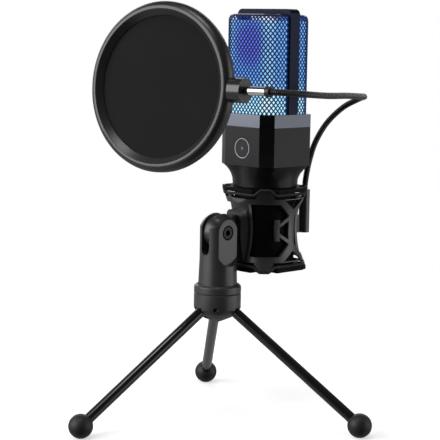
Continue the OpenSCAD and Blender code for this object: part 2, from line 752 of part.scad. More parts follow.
module cap_screws() color([0.6, 0.6, 0.62]) at_mic(shaft_z) for (a = [30, 150, 270])
    rotate([0, 0, a]) translate([11, 0, 0]) {
        translate([0, 0, -2.5]) cylinder(r = 1.9, h = 1);
        translate([0, 0, -1.5 - eps]) cylinder(r = 1, h = 5);
    }

// Stadium-shaped metal shell with its contact tongue
module usb_outline(grow = 0) {
    r = usb_t / 2 + grow;
    square([usb_w - usb_t, 2 * r], center = true);
    for (s = [-1, 1]) translate([s * (usb_w - usb_t) / 2, 0]) circle(r);
}

module usb_socket() color([0.75, 0.75, 0.77]) at_mic(shaft_z - 1.5) {
    difference() {
        linear_extrude(usb_len) usb_outline();
        translate([0, 0, -1]) linear_extrude(usb_len) usb_outline(-0.3);
    }
    translate([-3.3, -0.35, 0.6]) cube([6.6, 0.7, usb_len - 1]);
}

module circuit_board() color([0.05, 0.25, 0.15]) at_mic(shaft_z - 1.5 + usb_len)
    translate([-board_w / 2, -board_t / 2, 0])
        cube([board_w, board_t, board_top - shaft_z + 1.5 - usb_len]);

// Chips, a coil, a connector and three cans soldered to the board
module board_parts() color([0.1, 0.1, 0.1]) at_mic() {
    y = board_t / 2;
    translate([-chip[0] / 2, y, board_z + 0.18 * board_len]) cube(chip);
    translate([-driver_chip[0] / 2, y, board_z + 0.38 * board_len]) cube(driver_chip);
    translate([-coil[0] / 2, y, body_z]) cube(coil);
    translate([-plug_block[0] - 1, -y - plug_block[1], board_z + 0.6 * board_len]) cube(plug_block);
    for (k = [0 : 2]) translate([can_r + 1.5, -y, board_z + (0.25 + 0.12 * k) * board_len])
        rotate([90, 0, 0]) cylinder(r = can_r, h = can_h);
}

module touch_pad() color([0.13, 0.13, 0.14]) at_mic(body_z + pad_rise)
    translate([0, -body_d / 2, 0]) rotate([-90, 0, 0]) difference() {
        cylinder(r = pad_r, h = 0.75);
        translate([0, 0, -eps]) cylinder(r = 0.8 + seat, h = 2);
    }

module status_lens() color([0.3, 0.32, 0.34]) at_mic(body_z + pad_rise)
    translate([0, -body_d / 2, 0]) rotate([-90, 0, 0]) cylinder(r = 0.8, h = 0.75);

// ---------------------------------------------------------------- head

module led_board() color([0.9, 0.9, 0.9]) at_mic(deck_z) {
    difference() {
        linear_extrude(1.2) grille_outline(grille_t + foam_t + 1);
        translate([0, 0, -1]) linear_extrude(cut) {
            square([2 * saddle_w + 1, saddle_w + 1], center = true);
            square([2 * upright_x + upright[0] + 1, upright[1] + 1], center = true);
        }
        each_deck_post() translate([0, 0, -1]) cylinder(r = deck_head_r + 0.2, h = cut);
    }
    for (s = [-1, 1], k = [-1 : 1]) translate([9 * k - 1.5, s * 12 - 1.5, 1.2 - eps])
        cube([3, 3, 0.9]);
}

module light_diffuser() color([0.5, 0.8, 1.0]) at_mic() difference() {
    translate([0, 0, deck_z + 2.4]) linear_extrude(grille_h - 12)
        grille_outline(grille_t + foam_t + 1.5);
    translate([0, 0, deck_z]) linear_extrude(cut + 10) grille_outline(grille_t + foam_t + 3);
}

module capsule_saddle() color([0.15, 0.15, 0.16]) at_mic() difference() {
    union() {
        translate([0, 0, deck_z + 1.5]) cube([2 * saddle_w, saddle_w, 3], center = true);
        for (s = [-1, 1]) translate([s * upright_x - upright[0] / 2, -upright[1] / 2, deck_z])
            cube([upright[0], upright[1], capsule_z - deck_z + 3]);
    }
    translate([0, 0, capsule_z]) rotate([90, 0, 0])
        cylinder(r = capsule_r + seat, h = cut, center = true);
}

module capsule() color([0.75, 0.62, 0.3]) at_mic(capsule_z) rotate([90, 0, 0]) union() {
    cylinder(r = capsule_r, h = capsule_t - 2, center = true);
    cylinder(r = capsule_r - 1.5, h = capsule_t, center = true);
    rotate([90, 0, 0]) cylinder(r = 1, h = 2 * capsule_r + 3.6, center = true);
}

module foam_liner() color([0.15, 0.2, 0.3]) at_mic() difference() {
    head_form(grille_t + 0.2);
    translate([0, 0, -0.5]) head_form(grille_t + foam_t);
    for (s = [0, 180]) rotate([0, 0, s]) translate([hoop_x - hoop_t - gap - 1, -cut / 2, deck_z - 1])
        cube([cut, cut, grille_h + cut]);
    translate([-cut / 2, -cut / 2, hoop_top - hoop_t - 4]) cube([cut, cut, cut]);
}

// Places its children on the front half's outline, at a run from its middle, facing out to -Y
module at_outline(run) mirror([run < 0 ? 1 : 0, 0, 0]) {
    past = abs(run) - grille_w / 2 + grille_r;
    turn = grille_r * PI / 2;
    translate([grille_w / 2 - grille_r + min(past, 0), max(past - turn, 0) - grille_d / 2 + grille_r, 0])
        rotate([0, 0, 90 * min(max(past / turn, 0), 1)]) translate([0, -grille_r, 0]) children();
}

// Diamonds between the coarse ribs that stand for the mesh: half ones in the first and last rows
module mesh_pockets() {
    x = mesh_share * mesh_run / 2;
    z = mesh_share * mesh_rise / 2;
    for (row = [0 : mesh_rows], col = [row % 2 - 4 : 3])
        at_outline((col + 1 - row % 2 / 2) * mesh_run)
            translate([0, 2 * grille_t, deck_z + row * mesh_rise / 2]) rotate([90, 0, 0])
                linear_extrude(3 * grille_t)
                    polygon(concat([[-x, 0], [0, -z], [x, 0]], row < mesh_rows ? [[0, z]] : []));
}

// One half of the grille: side is -1 for the front, 1 for the back
module grille_half(side) at_mic() mirror([0, side > 0 ? 1 : 0, 0]) resize([grille_w, 0, 0]) intersection() {
    difference() {
        union() {
            head_form(mesh_depth);
            difference() {
                head_form(0);
                mesh_pockets();
            }
        }
        translate([0, 0, -0.5]) head_form(grille_t);
    }
    translate([-cut / 2, -cut - hoop_w / 2, deck_z]) cube([cut, cut, grille_h + cut]);
}

module front_grille() color([0.1, 0.15, 0.3]) grille_half(-1);
module rear_grille() color([0.1, 0.15, 0.3]) grille_half(1);

// Outline of the hoop's outside, drawn in by an inset
module hoop_outline(inset) {
    x = hoop_x - inset;
    h = hoop_top - deck_z - inset;
    r = max(4 - inset, 1);
    translate([-x, 0]) square([2 * x, h - r]);
    translate([-x + r, 0]) square([2 * (x - r), h]);
    for (s = [-1, 1]) translate([s * (x - r), h - r]) circle(r);
}

module head_hoop() color([0.22, 0.22, 0.24]) at_mic(deck_z) rotate([90, 0, 0])
    linear_extrude(hoop_w, center = true) difference() {
        hoop_outline(0);
        translate([0, -1]) hoop_outline(hoop_t);
    }

// ---------------------------------------------------------------- gooseneck and pop filter

module gooseneck() color([0.05, 0.05, 0.05])
    tube(spline(route_out, route_steps), neck_tube_r, tube_sides, filter_dir, [0, 0, -1]);

module neck_end_pin() color([0.3, 0.3, 0.3])
    translate([clip_x, clip_y, neck_end[2] - end_pin_len]) cylinder(r = end_pin_r, h = end_pin_len);

module neck_collar() color([0.05, 0.05, 0.05]) at_filter_rod()
    filter_rod(boss_end + ferrule_len, collar_len, ferrule_r + 0.5);

module ferrule() color([0.85, 0.85, 0.87]) at_filter_rod()
    filter_rod(boss_end - boss_depth, boss_depth + ferrule_len, ferrule_r);

// The gooseneck's straight end lies level, along the filter's +X
module at_filter_rod() { translate(filter_c) rotate([0, 0, filter_az]) children(); }

module filter_boss() color([0.25, 0.25, 0.26]) at_filter() difference() {
    filter_rod(boss_start, boss_end - boss_start, boss_r);
    cylinder(r = filter_r + seat, h = cut, center = true);
    filter_rod(boss_end - boss_depth - gap, cut, ferrule_r + run);
}

// Section of one half ring, from the joint face up
module ring_section() {
    lip = filter_r - 4.8;
    seat_h = spacer_h + fabric_t;
    polygon([[screen_r, seat_h], [screen_r, seat_h + 0.5], [lip - 0.5, ring_h - 0.4], [lip, ring_h],
             [lip + 0.8, ring_h], [filter_r - 2.4, ring_h - 0.6], [filter_r - 0.7, ring_h - 2.2],
             [filter_r, ring_h - 4.2], [filter_r, 0], [screen_r + 3, 0], [screen_r + 3, seat_h]]);
}

module front_ring() color([0.12, 0.12, 0.12]) at_filter() rotate_extrude($fn = 128)
    ring_section();

module rear_ring() color([0.12, 0.12, 0.12]) at_filter() mirror([0, 0, 1])
    rotate_extrude($fn = 128) ring_section();

module spacer_ring() color([0.1, 0.1, 0.1]) at_filter() difference() {
    cylinder(r = screen_r + 2.9, h = 2 * spacer_h, center = true);
    cylinder(r = screen_r, h = cut, center = true);
}

module fabric_disc() translate([0, 0, spacer_h]) cylinder(r = screen_r + 2.8, h = fabric_t);
module front_fabric() color([0.1, 0.1, 0.1]) at_filter() fabric_disc();
module rear_fabric() color([0.1, 0.1, 0.1]) at_filter() mirror([0, 0, 1]) fabric_disc();

// ---------------------------------------------------------------- nodes

tripod_hub();
hub_collar();
leg_pins();
leg_1();
leg_2();
leg_3();
foot_1();
foot_2();
foot_3();
tilt_post();
pivot_screw();
tilt_bolt();
tilt_nut();
outer_cage();
elastic_band_upper();
elastic_band_lower();
filter_clip();
clip_screws();
inner_sleeve();
sleeve_liner();
lower_housing();
shaft_tube();
trim_band();
deck_plate();
deck_screws();
base_cap();
cap_screws();
usb_socket();
circuit_board();
board_parts();
touch_pad();
status_lens();
led_board();
light_diffuser();
capsule_saddle();
capsule();
foam_liner();
front_grille();
rear_grille();
head_hoop();
gooseneck();
neck_end_pin();
neck_collar();
ferrule();
filter_boss();
front_ring();
rear_ring();
spacer_ring();
front_fabric();
rear_fabric();
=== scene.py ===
"""Dresses the solids of a desk microphone: finishes, lit mesh head, cloth filter and studio."""

import json
import math

import bmesh
import bpy
from bpy.props import FloatProperty, FloatVectorProperty, PointerProperty
from mathutils import Matrix, Vector

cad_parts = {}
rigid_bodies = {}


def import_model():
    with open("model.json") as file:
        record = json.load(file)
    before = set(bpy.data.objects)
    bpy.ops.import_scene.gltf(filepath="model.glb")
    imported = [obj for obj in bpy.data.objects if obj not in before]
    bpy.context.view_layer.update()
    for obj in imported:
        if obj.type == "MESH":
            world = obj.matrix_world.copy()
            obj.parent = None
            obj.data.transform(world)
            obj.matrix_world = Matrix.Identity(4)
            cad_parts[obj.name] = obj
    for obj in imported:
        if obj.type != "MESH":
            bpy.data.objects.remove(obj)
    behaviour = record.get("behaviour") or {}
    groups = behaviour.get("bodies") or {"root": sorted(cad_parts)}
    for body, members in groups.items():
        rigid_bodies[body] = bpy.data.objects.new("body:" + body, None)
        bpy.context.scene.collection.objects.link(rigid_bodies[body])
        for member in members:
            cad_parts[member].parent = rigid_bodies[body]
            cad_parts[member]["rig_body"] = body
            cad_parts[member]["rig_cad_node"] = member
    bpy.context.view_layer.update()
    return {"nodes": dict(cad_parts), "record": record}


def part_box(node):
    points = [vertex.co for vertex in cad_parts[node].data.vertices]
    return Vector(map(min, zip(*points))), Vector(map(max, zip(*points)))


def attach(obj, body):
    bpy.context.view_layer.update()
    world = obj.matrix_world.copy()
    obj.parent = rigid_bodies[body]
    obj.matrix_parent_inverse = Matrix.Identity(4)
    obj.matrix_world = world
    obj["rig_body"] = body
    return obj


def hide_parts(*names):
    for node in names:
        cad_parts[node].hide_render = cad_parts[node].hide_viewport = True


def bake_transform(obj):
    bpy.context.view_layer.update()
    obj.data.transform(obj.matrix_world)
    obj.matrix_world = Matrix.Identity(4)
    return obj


bl_info = {
    "name": "Desk microphone",
    "version": (1, 0, 0),
    "blender": (4, 5, 0),
    "location": "View3D > Sidebar > Microphone",
    "description": "Finishes, mesh head, pop filter and studio for a desk microphone",
    "category": "Object",
}

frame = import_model()
NODES = frame["nodes"]
SLOT = {part["node"]: part["material_slot"] for part in frame["record"]["subparts"]}
BODY = {node: piece["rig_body"] for node, piece in NODES.items()}
COLOUR = {slot["slot"]: slot["base_color"] for slot in frame["record"]["materials"]}

MM = 0.001
WELD = 0.002 * MM  # points of a copied solid closer than this are one point
BLACK = (0.0, 0.0, 0.0)
WHITE = (1.0, 1.0, 1.0)


def middle(node):
    """The middle of a CAD node's box."""
    low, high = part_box(node)
    return (low + high) / 2


FILTER_CENTRE = (middle("front_ring") + middle("rear_ring")) / 2
MIC_AXIS = middle("inner_sleeve")  # x and y of the microphone's upright axis
FRONT_LOW, FRONT_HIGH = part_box("front_grille")
REAR_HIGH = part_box("rear_grille")[1]
HEAD_HALF = (REAR_HIGH - FRONT_LOW) / 2  # half the head's width, depth and height
DECK_Z = FRONT_LOW.z
GRILLE_TOP = FRONT_HIGH.z


# ---- settings


def length(name, description, default):
    """A length that the user can change, in metres."""
    return FloatProperty(
        name=name,
        description=description,
        default=default,
        min=0,
        max=0.1,
        precision=5,
        unit="LENGTH",
    )


def degrees(name, description, default):
    """An angle that the user can change, with its default in degrees."""
    return FloatProperty(
        name=name, description=description, default=math.radians(default), subtype="ANGLE"
    )


def paint(name, description, default):
    """A colour that the user can change."""
    return FloatVectorProperty(
        name=name, description=description, default=default, size=3, min=0, max=1, subtype="COLOR"
    )


class MicrophoneSizes(bpy.types.PropertyGroup):
    """Sizes of the detail that the solids don't hold."""

    hole_across: length("Hole pitch across", "From one hole of the mesh to the next", 3.08 * MM)
    hole_up: length("Hole pitch up", "From one row of holes to the next but one", 3.67 * MM)
    strand: length("Strand", "Width of a strand of the mesh", 0.95 * MM)
    corner: length("Head corner", "Radius of the head's upright corners", 11.5 * MM)
    top_edge: length("Head top edge", "Rounding of the head's top edge", 4 * MM)
    rim: length("Head rim", "Width of the plain rim round the flat mesh on top", 1.6 * MM)
    mesh_over: degrees(
        "Mesh over the edge", "How far the mesh follows the rounding of the head's top edge", 48
    )
    neck_radius: length("Gooseneck radius", "Radius of the gooseneck over its ribs", 2.0 * MM)
    rib_pitch: length("Gooseneck rib pitch", "From one rib of the gooseneck to the next", 1.1 * MM)
    rib_depth: length("Gooseneck rib depth", "Depth of the groove between two ribs", 0.22 * MM)
    band_pitch: length("Band rib pitch", "From one rib of an elastic band to the next", 0.9 * MM)
    touch_line: length("Touch line", "Width of the light line round the touch pad", 0.42 * MM)
    thread: length("Thread", "Distance between the threads of the filter's cloth", 0.55 * MM)
    cloth_radius: length("Cloth radius", "Radius of the filter's two cloths", 46.0 * MM)
    filter_azimuth: degrees("Filter turn", "Turn of the filter", 11.8)
    filter_tilt: degrees("Filter tilt", "Lean of the filter", 4.5)


class MicrophoneColours(bpy.types.PropertyGroup):
    """Colours of the finishes."""

    housing: paint("Housing", "Satin metal of the body", (0.0215, 0.022, 0.0225))
    trim: paint("Trim band", "Smooth band under the head", (0.102, 0.109, 0.128))
    hoop: paint("Hoop", "Strip over the head", (0.014, 0.017, 0.03))
    mesh: paint("Mesh", "Black paint of the head's mesh", (0.004, 0.004, 0.006))
    cradle: paint("Cradle", "Matte plastic of the cage", (0.036, 0.036, 0.037))
    # Near black: the sleeve's own dark plastic with the shade inside the cage painted into it.
    sleeve: paint("Sleeve", "Dull plastic of the sleeve in the cage", (0.002, 0.002, 0.002))
    post: paint("Post", "Satin plastic of the tilt post", (0.04, 0.04, 0.042))
    hub: paint("Hub", "Satin plastic of the tripod's hub", (0.05, 0.05, 0.051))
    ring: paint("Filter ring", "Satin plastic of the filter's rings", COLOUR["ring_plastic"])
    cloth: paint("Filter cloth", "Nylon of the filter", COLOUR["mesh_fabric"])
    violet: paint("Violet light", "Light in the middle of the head", (0.12, 0.16, 0.68))
    blue: paint("Blue light", "Light over most of the head", (0.14, 0.36, 0.84))
    cyan: paint("Cyan light", "Light near the corners and the foot of the head", (0.5, 0.9, 1.0))
    ice: paint("Ice light", "Light in the brightest holes", (0.8, 1.0, 1.0))


class MicrophoneStudio(bpy.types.PropertyGroup):
    """Place and lens of the camera, and strength of the lamps."""

    eye: FloatVectorProperty(
        name="Eye",
        description="Place of the camera",
        default=(0.7014, -0.6826, 0.2553),
        size=3,
        subtype="TRANSLATION",
    )
    heading: degrees("Heading", "Turn of the camera", 45.73)
    pitch: degrees("Pitch", "Downward tilt of the camera", 7.274)
    roll: degrees("Roll", "Roll of the camera", 1.0)
    lens: FloatProperty(name="Lens", description="Focal length", default=125.1, unit="CAMERA")
    lamps: FloatProperty(
        name="Lamps", description="Strength of all lamps", default=1.0, min=0, max=5
    )


def sizes():
    return bpy.context.scene.microphone_sizes


def colours():
    return bpy.context.scene.microphone_colours


# ---- node trees


def fill(node, inputs):
    """Joins or sets inputs of a node. A colour of three values is made opaque."""
    for name, value in inputs.items():
        socket = node.inputs[name]
        if isinstance(value, bpy.types.NodeSocket):
            node.id_data.links.new(value, socket)
        elif socket.type == "RGBA":
            socket.default_value = (*value, 1.0)[:4]
        else:
            socket.default_value = value


def add(tree, kind, inputs=None, **settings):
    """A node with its settings made and its inputs set or joined."""
    node = tree.nodes.new(kind)
    for name, value in settings.items():
        setattr(node, name, value)
    fill(node, inputs or {})
    return node


def vector_calc(tree, operation, a, b=(0, 0, 0)):
    """The output of a Vector Math node: a vector, or the value of a length or dot product."""
    node = add(tree, "ShaderNodeVectorMath", {0: a, 1: b}, operation=operation)
    return node.outputs["Value" if operation in {"LENGTH", "DOT_PRODUCT"} else "Vector"]


def squares(tree, a, b):
    """The sum of two squares."""
    return calc(tree, "ADD", calc(tree, "MULTIPLY", a, a), calc(tree, "MULTIPLY", b, b))


def axes_of(tree, vector):
    """The X, Y and Z of a vector."""
    return add(tree, "ShaderNodeSeparateXYZ", {0: vector}).outputs


def noise(tree, place, scale, detail=2.0):
    """The value of a Noise Texture."""
    inputs = {"Vector": place, "Scale": scale, "Detail": detail}
    return add(tree, "ShaderNodeTexNoise", inputs).outputs[0]


def mixed_shaders(tree, factor, a, b):
    """The output of a Mix Shader node."""
    return add(tree, "ShaderNodeMixShader", {0: factor, 1: a, 2: b}).outputs[0]


def find(tree, kind):
    """The only node of a type in a tree."""
    return next(node for node in tree.nodes if node.type == kind)


def calc(tree, operation, a, b=0.0, c=0.0, clamp=False):
    """The output of a Math node."""
    node = add(tree, "ShaderNodeMath", {0: a, 1: b, 2: c}, operation=operation, use_clamp=clamp)
    return node.outputs[0]


def mixed(tree, factor, a, b, blend="MIX"):
    """The output of a Mix node for colours."""
    node = add(tree, "ShaderNodeMix", {0: factor, 6: a, 7: b}, data_type="RGBA", blend_type=blend)
    return node.outputs[2]


def step(tree, value, start, end):
    """A smooth step from 0 at start to 1 at end."""
    node = add(
        tree,
        "ShaderNodeMapRange",
        {"Value": value, "From Min": start, "From Max": end},
        interpolation_type="SMOOTHSTEP",
    )
    return node.outputs[0]


def new_group(name, inputs, outputs):
    """A node group with its sockets, the values given to it, and its output node."""
    tree = bpy.data.node_groups.new(name, "ShaderNodeTree")
    for side, sockets in (("INPUT", inputs), ("OUTPUT", outputs)):
        for label, kind in sockets.items():
            tree.interface.new_socket(label, in_out=side, socket_type="NodeSocket" + kind)
    return tree, add(tree, "NodeGroupInput").outputs, add(tree, "NodeGroupOutput")


def grain_group():
    """Tone, roughness and relief of a coated, moulded or drawn surface."""
    values = dict.fromkeys(("Roughness", "Spread", "Grain", "Patches"), "Float")
    tree, given, made = new_group(
        "Surface grain",
        {"Vector": "Vector", "Colour": "Color", **values},
        {"Colour": "Color", "Roughness": "Float", "Height": "Float"},
    )
    fine = noise(tree, given["Vector"], given["Grain"], 3.0)
    broad = noise(tree, given["Vector"], given["Patches"])
    both = calc(tree, "ADD", calc(tree, "MULTIPLY", fine, 0.5), broad)
    swing = calc(tree, "SUBTRACT", both, 0.75)
    tone = calc(tree, "MULTIPLY_ADD", swing, given["Spread"], 1.0)
    scaled = add(
        tree, "ShaderNodeVectorMath", {0: given["Colour"], "Scale": tone}, operation="SCALE"
    )
    spread = calc(tree, "MULTIPLY", swing, given["Spread"])
    rough = calc(tree, "MULTIPLY_ADD", spread, 0.5, given["Roughness"])
    fill(made, {"Colour": scaled.outputs[0], "Roughness": rough, "Height": fine})
    return tree


def specks_group():
    """Small light specks of dust and handling marks over a colour."""
    colours_in = dict.fromkeys(("Colour", "Speck"), "Color")
    tree, given, made = new_group(
        "Specks",
        {"Vector": "Vector", **colours_in, "Scale": "Float", "Share": "Float"},
        {"Colour": "Color"},
    )
    dots = noise(tree, given["Vector"], given["Scale"], 1.0)
    edge = calc(tree, "SUBTRACT", 0.78, given["Share"])
    mask = step(tree, dots, edge, calc(tree, "ADD", edge, 0.06))
    fill(made, {"Colour": mixed(tree, mask, given["Colour"], given["Speck"])})
    return tree


def weave_group():
    """Plain weave in the X and Y of its vector: height of the threads, colour with dark gaps."""
    tree, given, made = new_group(
        "Plain weave",
        {"Vector": "Vector", "Thread": "Float", "Colour": "Color", "Gap": "Color"},
        {"Colour": "Color", "Height": "Float"},
    )
    waves = []
    for run in axes_of(tree, given["Vector"])[:2]:
        turns = calc(tree, "DIVIDE", run, given["Thread"])
        waves.append(calc(tree, "SINE", calc(tree, "MULTIPLY", turns, math.pi)))
    over = calc(tree, "GREATER_THAN", calc(tree, "MULTIPLY", *waves), 0.0)
    under = calc(tree, "SUBTRACT", 1.0, over)
    ridges = [calc(tree, "ABSOLUTE", wave) for wave in waves]
    shown = [calc(tree, "MULTIPLY", ridge, top) for ridge, top in zip(ridges, (over, under))]
    height = calc(tree, "ADD", *shown)
    shade = step(tree, height, 0.1, 0.7)
    fill(made, {"Colour": mixed(tree, shade, given["Gap"], given["Colour"]), "Height": height})
    return tree


# Middle of the violet light, across and up the head, and how quickly it fades each way.
VIOLET_SPOT, VIOLET_FADE = (0.12, 0.7), (1.6, 4.2)


def head_light_group():
    """Colour of the light in the head: violet in the middle, cyan at the corners and the foot."""
    lights = dict.fromkeys(("Violet", "Blue", "Cyan", "Ice"), "Color")
    tree, given, made = new_group(
        "Head light", {"Vector": "Vector", **lights}, {"Light": "Color", "Corner": "Float"}
    )
    x, y, z = axes_of(tree, given["Vector"])
    across = calc(tree, "DIVIDE", x, HEAD_HALF.x)
    deep = calc(tree, "DIVIDE", calc(tree, "SUBTRACT", y, MIC_AXIS.y), HEAD_HALF.y)
    up = calc(tree, "DIVIDE", calc(tree, "SUBTRACT", z, DECK_Z), GRILLE_TOP - DECK_Z)
    corner = step(tree, squares(tree, across, deep), 1.06, 1.36)
    foot = step(tree, up, 0.42, 0.04)
    crown = calc(tree, "MULTIPLY", step(tree, up, 0.8, 1.0), 0.6)
    flank = calc(tree, "MULTIPLY", step(tree, across, 0.8, 1.0), 0.45)
    off = [
        calc(tree, "MULTIPLY", calc(tree, "SUBTRACT", place, centre), fade)
        for place, centre, fade in zip((across, up), VIOLET_SPOT, VIOLET_FADE)
    ]
    violet = step(tree, squares(tree, *off), 1.5, 0.1)
    base = mixed(tree, violet, given["Blue"], given["Violet"])
    bright = calc(tree, "MAXIMUM", calc(tree, "MULTIPLY", corner, 0.55), foot)
    bright = calc(tree, "MAXIMUM", bright, flank)
    lit = mixed(tree, bright, base, given["Cyan"])
    ice = calc(tree, "MULTIPLY", corner, calc(tree, "MAXIMUM", foot, crown))
    fill(made, {"Light": mixed(tree, ice, lit, given["Ice"]), "Corner": corner})
    return tree


GROUP_MAKERS = {
    "Surface grain": grain_group,
    "Specks": specks_group,
    "Plain weave": weave_group,
    "Head light": head_light_group,
}


def shared(tree, name, inputs):
    """The outputs of a node that holds one of the shared groups, with its values."""
    group = bpy.data.node_groups.get(name) or GROUP_MAKERS[name]()
    return add(tree, "ShaderNodeGroup", inputs, node_tree=group).outputs


# ---- finishes


def blank(name):
    """A new material with its Principled shader, and the tree to add to."""
    material = bpy.data.materials.new(name)
    material.use_nodes = True
    tree = material.node_tree
    tree.nodes.clear()
    shader = add(tree, "ShaderNodeBsdfPrincipled")
    add(tree, "ShaderNodeOutputMaterial", {"Surface": shader.outputs[0]})
    return material, tree, shader


def place_of(tree, stretch=(1, 1, 1), turn=(0, 0, 0)):
    """Object coordinates, stretched or turned by a Mapping node."""
    source = add(tree, "ShaderNodeTexCoord").outputs["Object"]
    if stretch == (1, 1, 1) and turn == (0, 0, 0):
        return source
    inputs = {"Vector": source, "Scale": stretch, "Rotation": turn}
    return add(tree, "ShaderNodeMapping", inputs).outputs[0]


def bumped(tree, height, strength, distance):
    """The normal of a surface in relief, from a Bump node."""
    inputs = {"Height": height, "Strength": strength, "Distance": distance}
    return add(tree, "ShaderNodeBump", inputs).outputs[0]


def grained(tree, place, colour, roughness, spread, grain, patches=60.0):
    """The Surface grain group at a place, with its values."""
    return shared(
        tree,
        "Surface grain",
        {
            "Vector": place,
            "Colour": colour,
            "Roughness": roughness,
            "Spread": spread,
            "Grain": grain,
            "Patches": patches,
        },
    )


def coated(
    name,
    colour,
    roughness,
    metallic=0.0,
    spread=0.3,
    grain=2200.0,
    relief=0.01,
    stretch=(1, 1, 1),
    coat=0.0,
    specks=0.0,
    specular=0.5,
):
    """A moulded, painted or machined surface with grain, patches and a few specks."""
    material, tree, shader = blank(name)
    place = place_of(tree, stretch)
    if specks:
        inputs = {
            "Vector": place,
            "Colour": colour,
            "Speck": [min(1.0, 2.2 * c + 0.02) for c in colour],
            "Scale": 420.0,
            "Share": specks,
        }
        colour = shared(tree, "Specks", inputs)["Colour"]
    surface = grained(tree, place, colour, roughness, spread, grain)
    fill(shader, {
        "Base Color": surface["Colour"],
        "Roughness": surface["Roughness"],
        "Metallic": metallic,
        "Specular IOR Level": specular,
        "Coat Weight": coat,
        "Coat Roughness": 0.12,
        "Normal": bumped(tree, surface["Height"], 0.5, relief * MM),
    })
    return material


def head_light(tree, place):
    """The light in the head at a place, in its four colours."""
    hue = colours()
    lights = {"Violet": hue.violet, "Blue": hue.blue, "Cyan": hue.cyan, "Ice": hue.ice}
    return shared(tree, "Head light", {"Vector": place, **lights})


def lit_foam():
    """Open foam behind the mesh, with the lamps' light coming through it."""
    material, tree, shader = blank("Lit foam")
    place = place_of(tree)
    light = head_light(tree, place)["Light"]
    pores = add(tree, "ShaderNodeTexVoronoi", {"Vector": place, "Scale": 900.0}).outputs["Distance"]
    shade = step(tree, pores, 0.0, 0.6)
    dim = mixed(tree, 0.72, light, BLACK)
    glow = mixed(tree, calc(tree, "MULTIPLY_ADD", shade, 0.25, 0.75), dim, light)
    fill(shader, {
        "Base Color": (0.05, 0.07, 0.12),
        "Roughness": 0.9,
        "Emission Color": glow,
        "Emission Strength": 1.1,
        "Normal": bumped(tree, shade, 0.6, 0.2 * MM),
    })
    return material


def mesh_paint_and_glow():
    """Gloss black mesh with a painted glow: the light behind it is painted onto the strands as
    emission, a little less at the corners.
    """
    material, tree, shader = blank("Black mesh paint")
    place = place_of(tree)
    light = head_light(tree, place)
    # Painted glow: the head's light, dimmed to dark blue, painted onto the black strands.
    painted_glow = mixed(tree, 1.0, light["Light"], (0.015, 0.045, 0.14), "MULTIPLY")
    share = calc(tree, "MULTIPLY_ADD", light["Corner"], -0.3, 1.0)
    surface = grained(
        tree, place, colours().mesh, roughness=0.35, spread=0.3, grain=3000.0, patches=80.0
    )
    fill(shader, {
        "Base Color": surface["Colour"],
        "Roughness": surface["Roughness"],
        "Specular IOR Level": 0.25,
        "Emission Color": mixed(tree, share, BLACK, painted_glow),
        "Emission Strength": 1.0,
        "Normal": bumped(tree, surface["Height"], 0.4, 0.01 * MM),
    })
    return material


def filter_cloth():
    """Fine charcoal nylon of the filter, woven across the rings."""
    material, tree, shader = blank("Filter nylon")
    place = place_of(tree, turn=filter_turn_back())
    nylon = colours().cloth
    woven = shared(
        tree,
        "Plain weave",
        {
            "Vector": place,
            "Thread": sizes().thread,
            "Colour": [0.8 * c for c in nylon],
            "Gap": [0.4 * c for c in nylon],
        },
    )
    surface = grained(
        tree, place, woven["Colour"], roughness=0.85, spread=0.35, grain=900.0, patches=35.0
    )
    fill(shader, {
        "Base Color": surface["Colour"],
        "Roughness": surface["Roughness"],
        "Sheen Weight": 0.08,
        "Sheen Roughness": 0.5,
        "Specular IOR Level": 0.2,
        "Normal": bumped(tree, woven["Height"], 0.6, 0.08 * MM),
    })
    return material


def elastic_cord():
    """Black braided elastic."""
    material, tree, shader = blank("Braided elastic")
    braid = add(
        tree,
        "ShaderNodeTexWave",
        {"Vector": place_of(tree), "Scale": 420.0, "Distortion": 1.5, "Detail": 2.0},
        bands_direction="DIAGONAL",
    ).outputs["Fac"]
    fill(shader, {
        "Base Color": mixed(tree, braid, (0.006, 0.006, 0.006), (0.035, 0.035, 0.036)),
        "Roughness": 0.7,
        "Sheen Weight": 0.1,
        "Normal": bumped(tree, braid, 0.6, 0.08 * MM),
    })
    return material


def touch_glass():
    """Smooth dark touch pad, lighter in its middle, with faint rings from its moulding."""
    material, tree, shader = blank("Touch pad")
    out = vector_calc(tree, "SUBTRACT", place_of(tree), middle("touch_pad"))
    reach = vector_calc(tree, "LENGTH", out)
    rings = calc(tree, "SINE", calc(tree, "MULTIPLY", reach, 9000.0))
    inner = step(tree, reach, 5.5 * MM, 0.0)
    fill(shader, {
        "Base Color": mixed(tree, inner, (0.012, 0.012, 0.014), (0.02, 0.02, 0.023)),
        "Metallic": 0.6,
        "Roughness": 0.32,
        "Normal": bumped(tree, rings, 0.08, 0.01 * MM),
    })
    return material


def lit_plastic(name, colour, strength):
    """Milky plastic with light in it, uneven as moulded."""
    material, tree, shader = blank(name)
    cloud = step(tree, noise(tree, place_of(tree), 160.0), 0.3, 0.7)
    tone = mixed(tree, cloud, [0.75 * c for c in colour], colour)
    fill(shader, {
        "Base Color": tone,
        "Roughness": 0.4,
        "Emission Color": tone,
        "Emission Strength": strength,
    })
    return material


def circuit_green():
    """Solder mask with tracks under it."""
    material, tree, shader = blank("Circuit board")
    tracks = add(
        tree,
        "ShaderNodeTexBrick",
        {
            "Vector": place_of(tree, turn=(math.radians(90), 0, 0)),
            "Scale": 260.0,
            "Color1": (0.006, 0.06, 0.03),
            "Color2": (0.01, 0.09, 0.045),
            "Mortar": (0.02, 0.16, 0.08),
            "Mortar Size": 0.03,
        },
    ).outputs
    relief = bumped(tree, tracks["Fac"], 0.3, 0.03 * MM)
    fill(shader, {"Base Color": tracks["Color"], "Roughness": 0.35, "Normal": relief})
    return material


STEM_SHARE = 0.42  # where the cage's stem stands on the way from the bolt to the upright axis
# From the stem: the painted shade is darkest within the first length and gone beyond the second.
SHADE_CORE, SHADE_EDGE = 8 * MM, 13 * MM


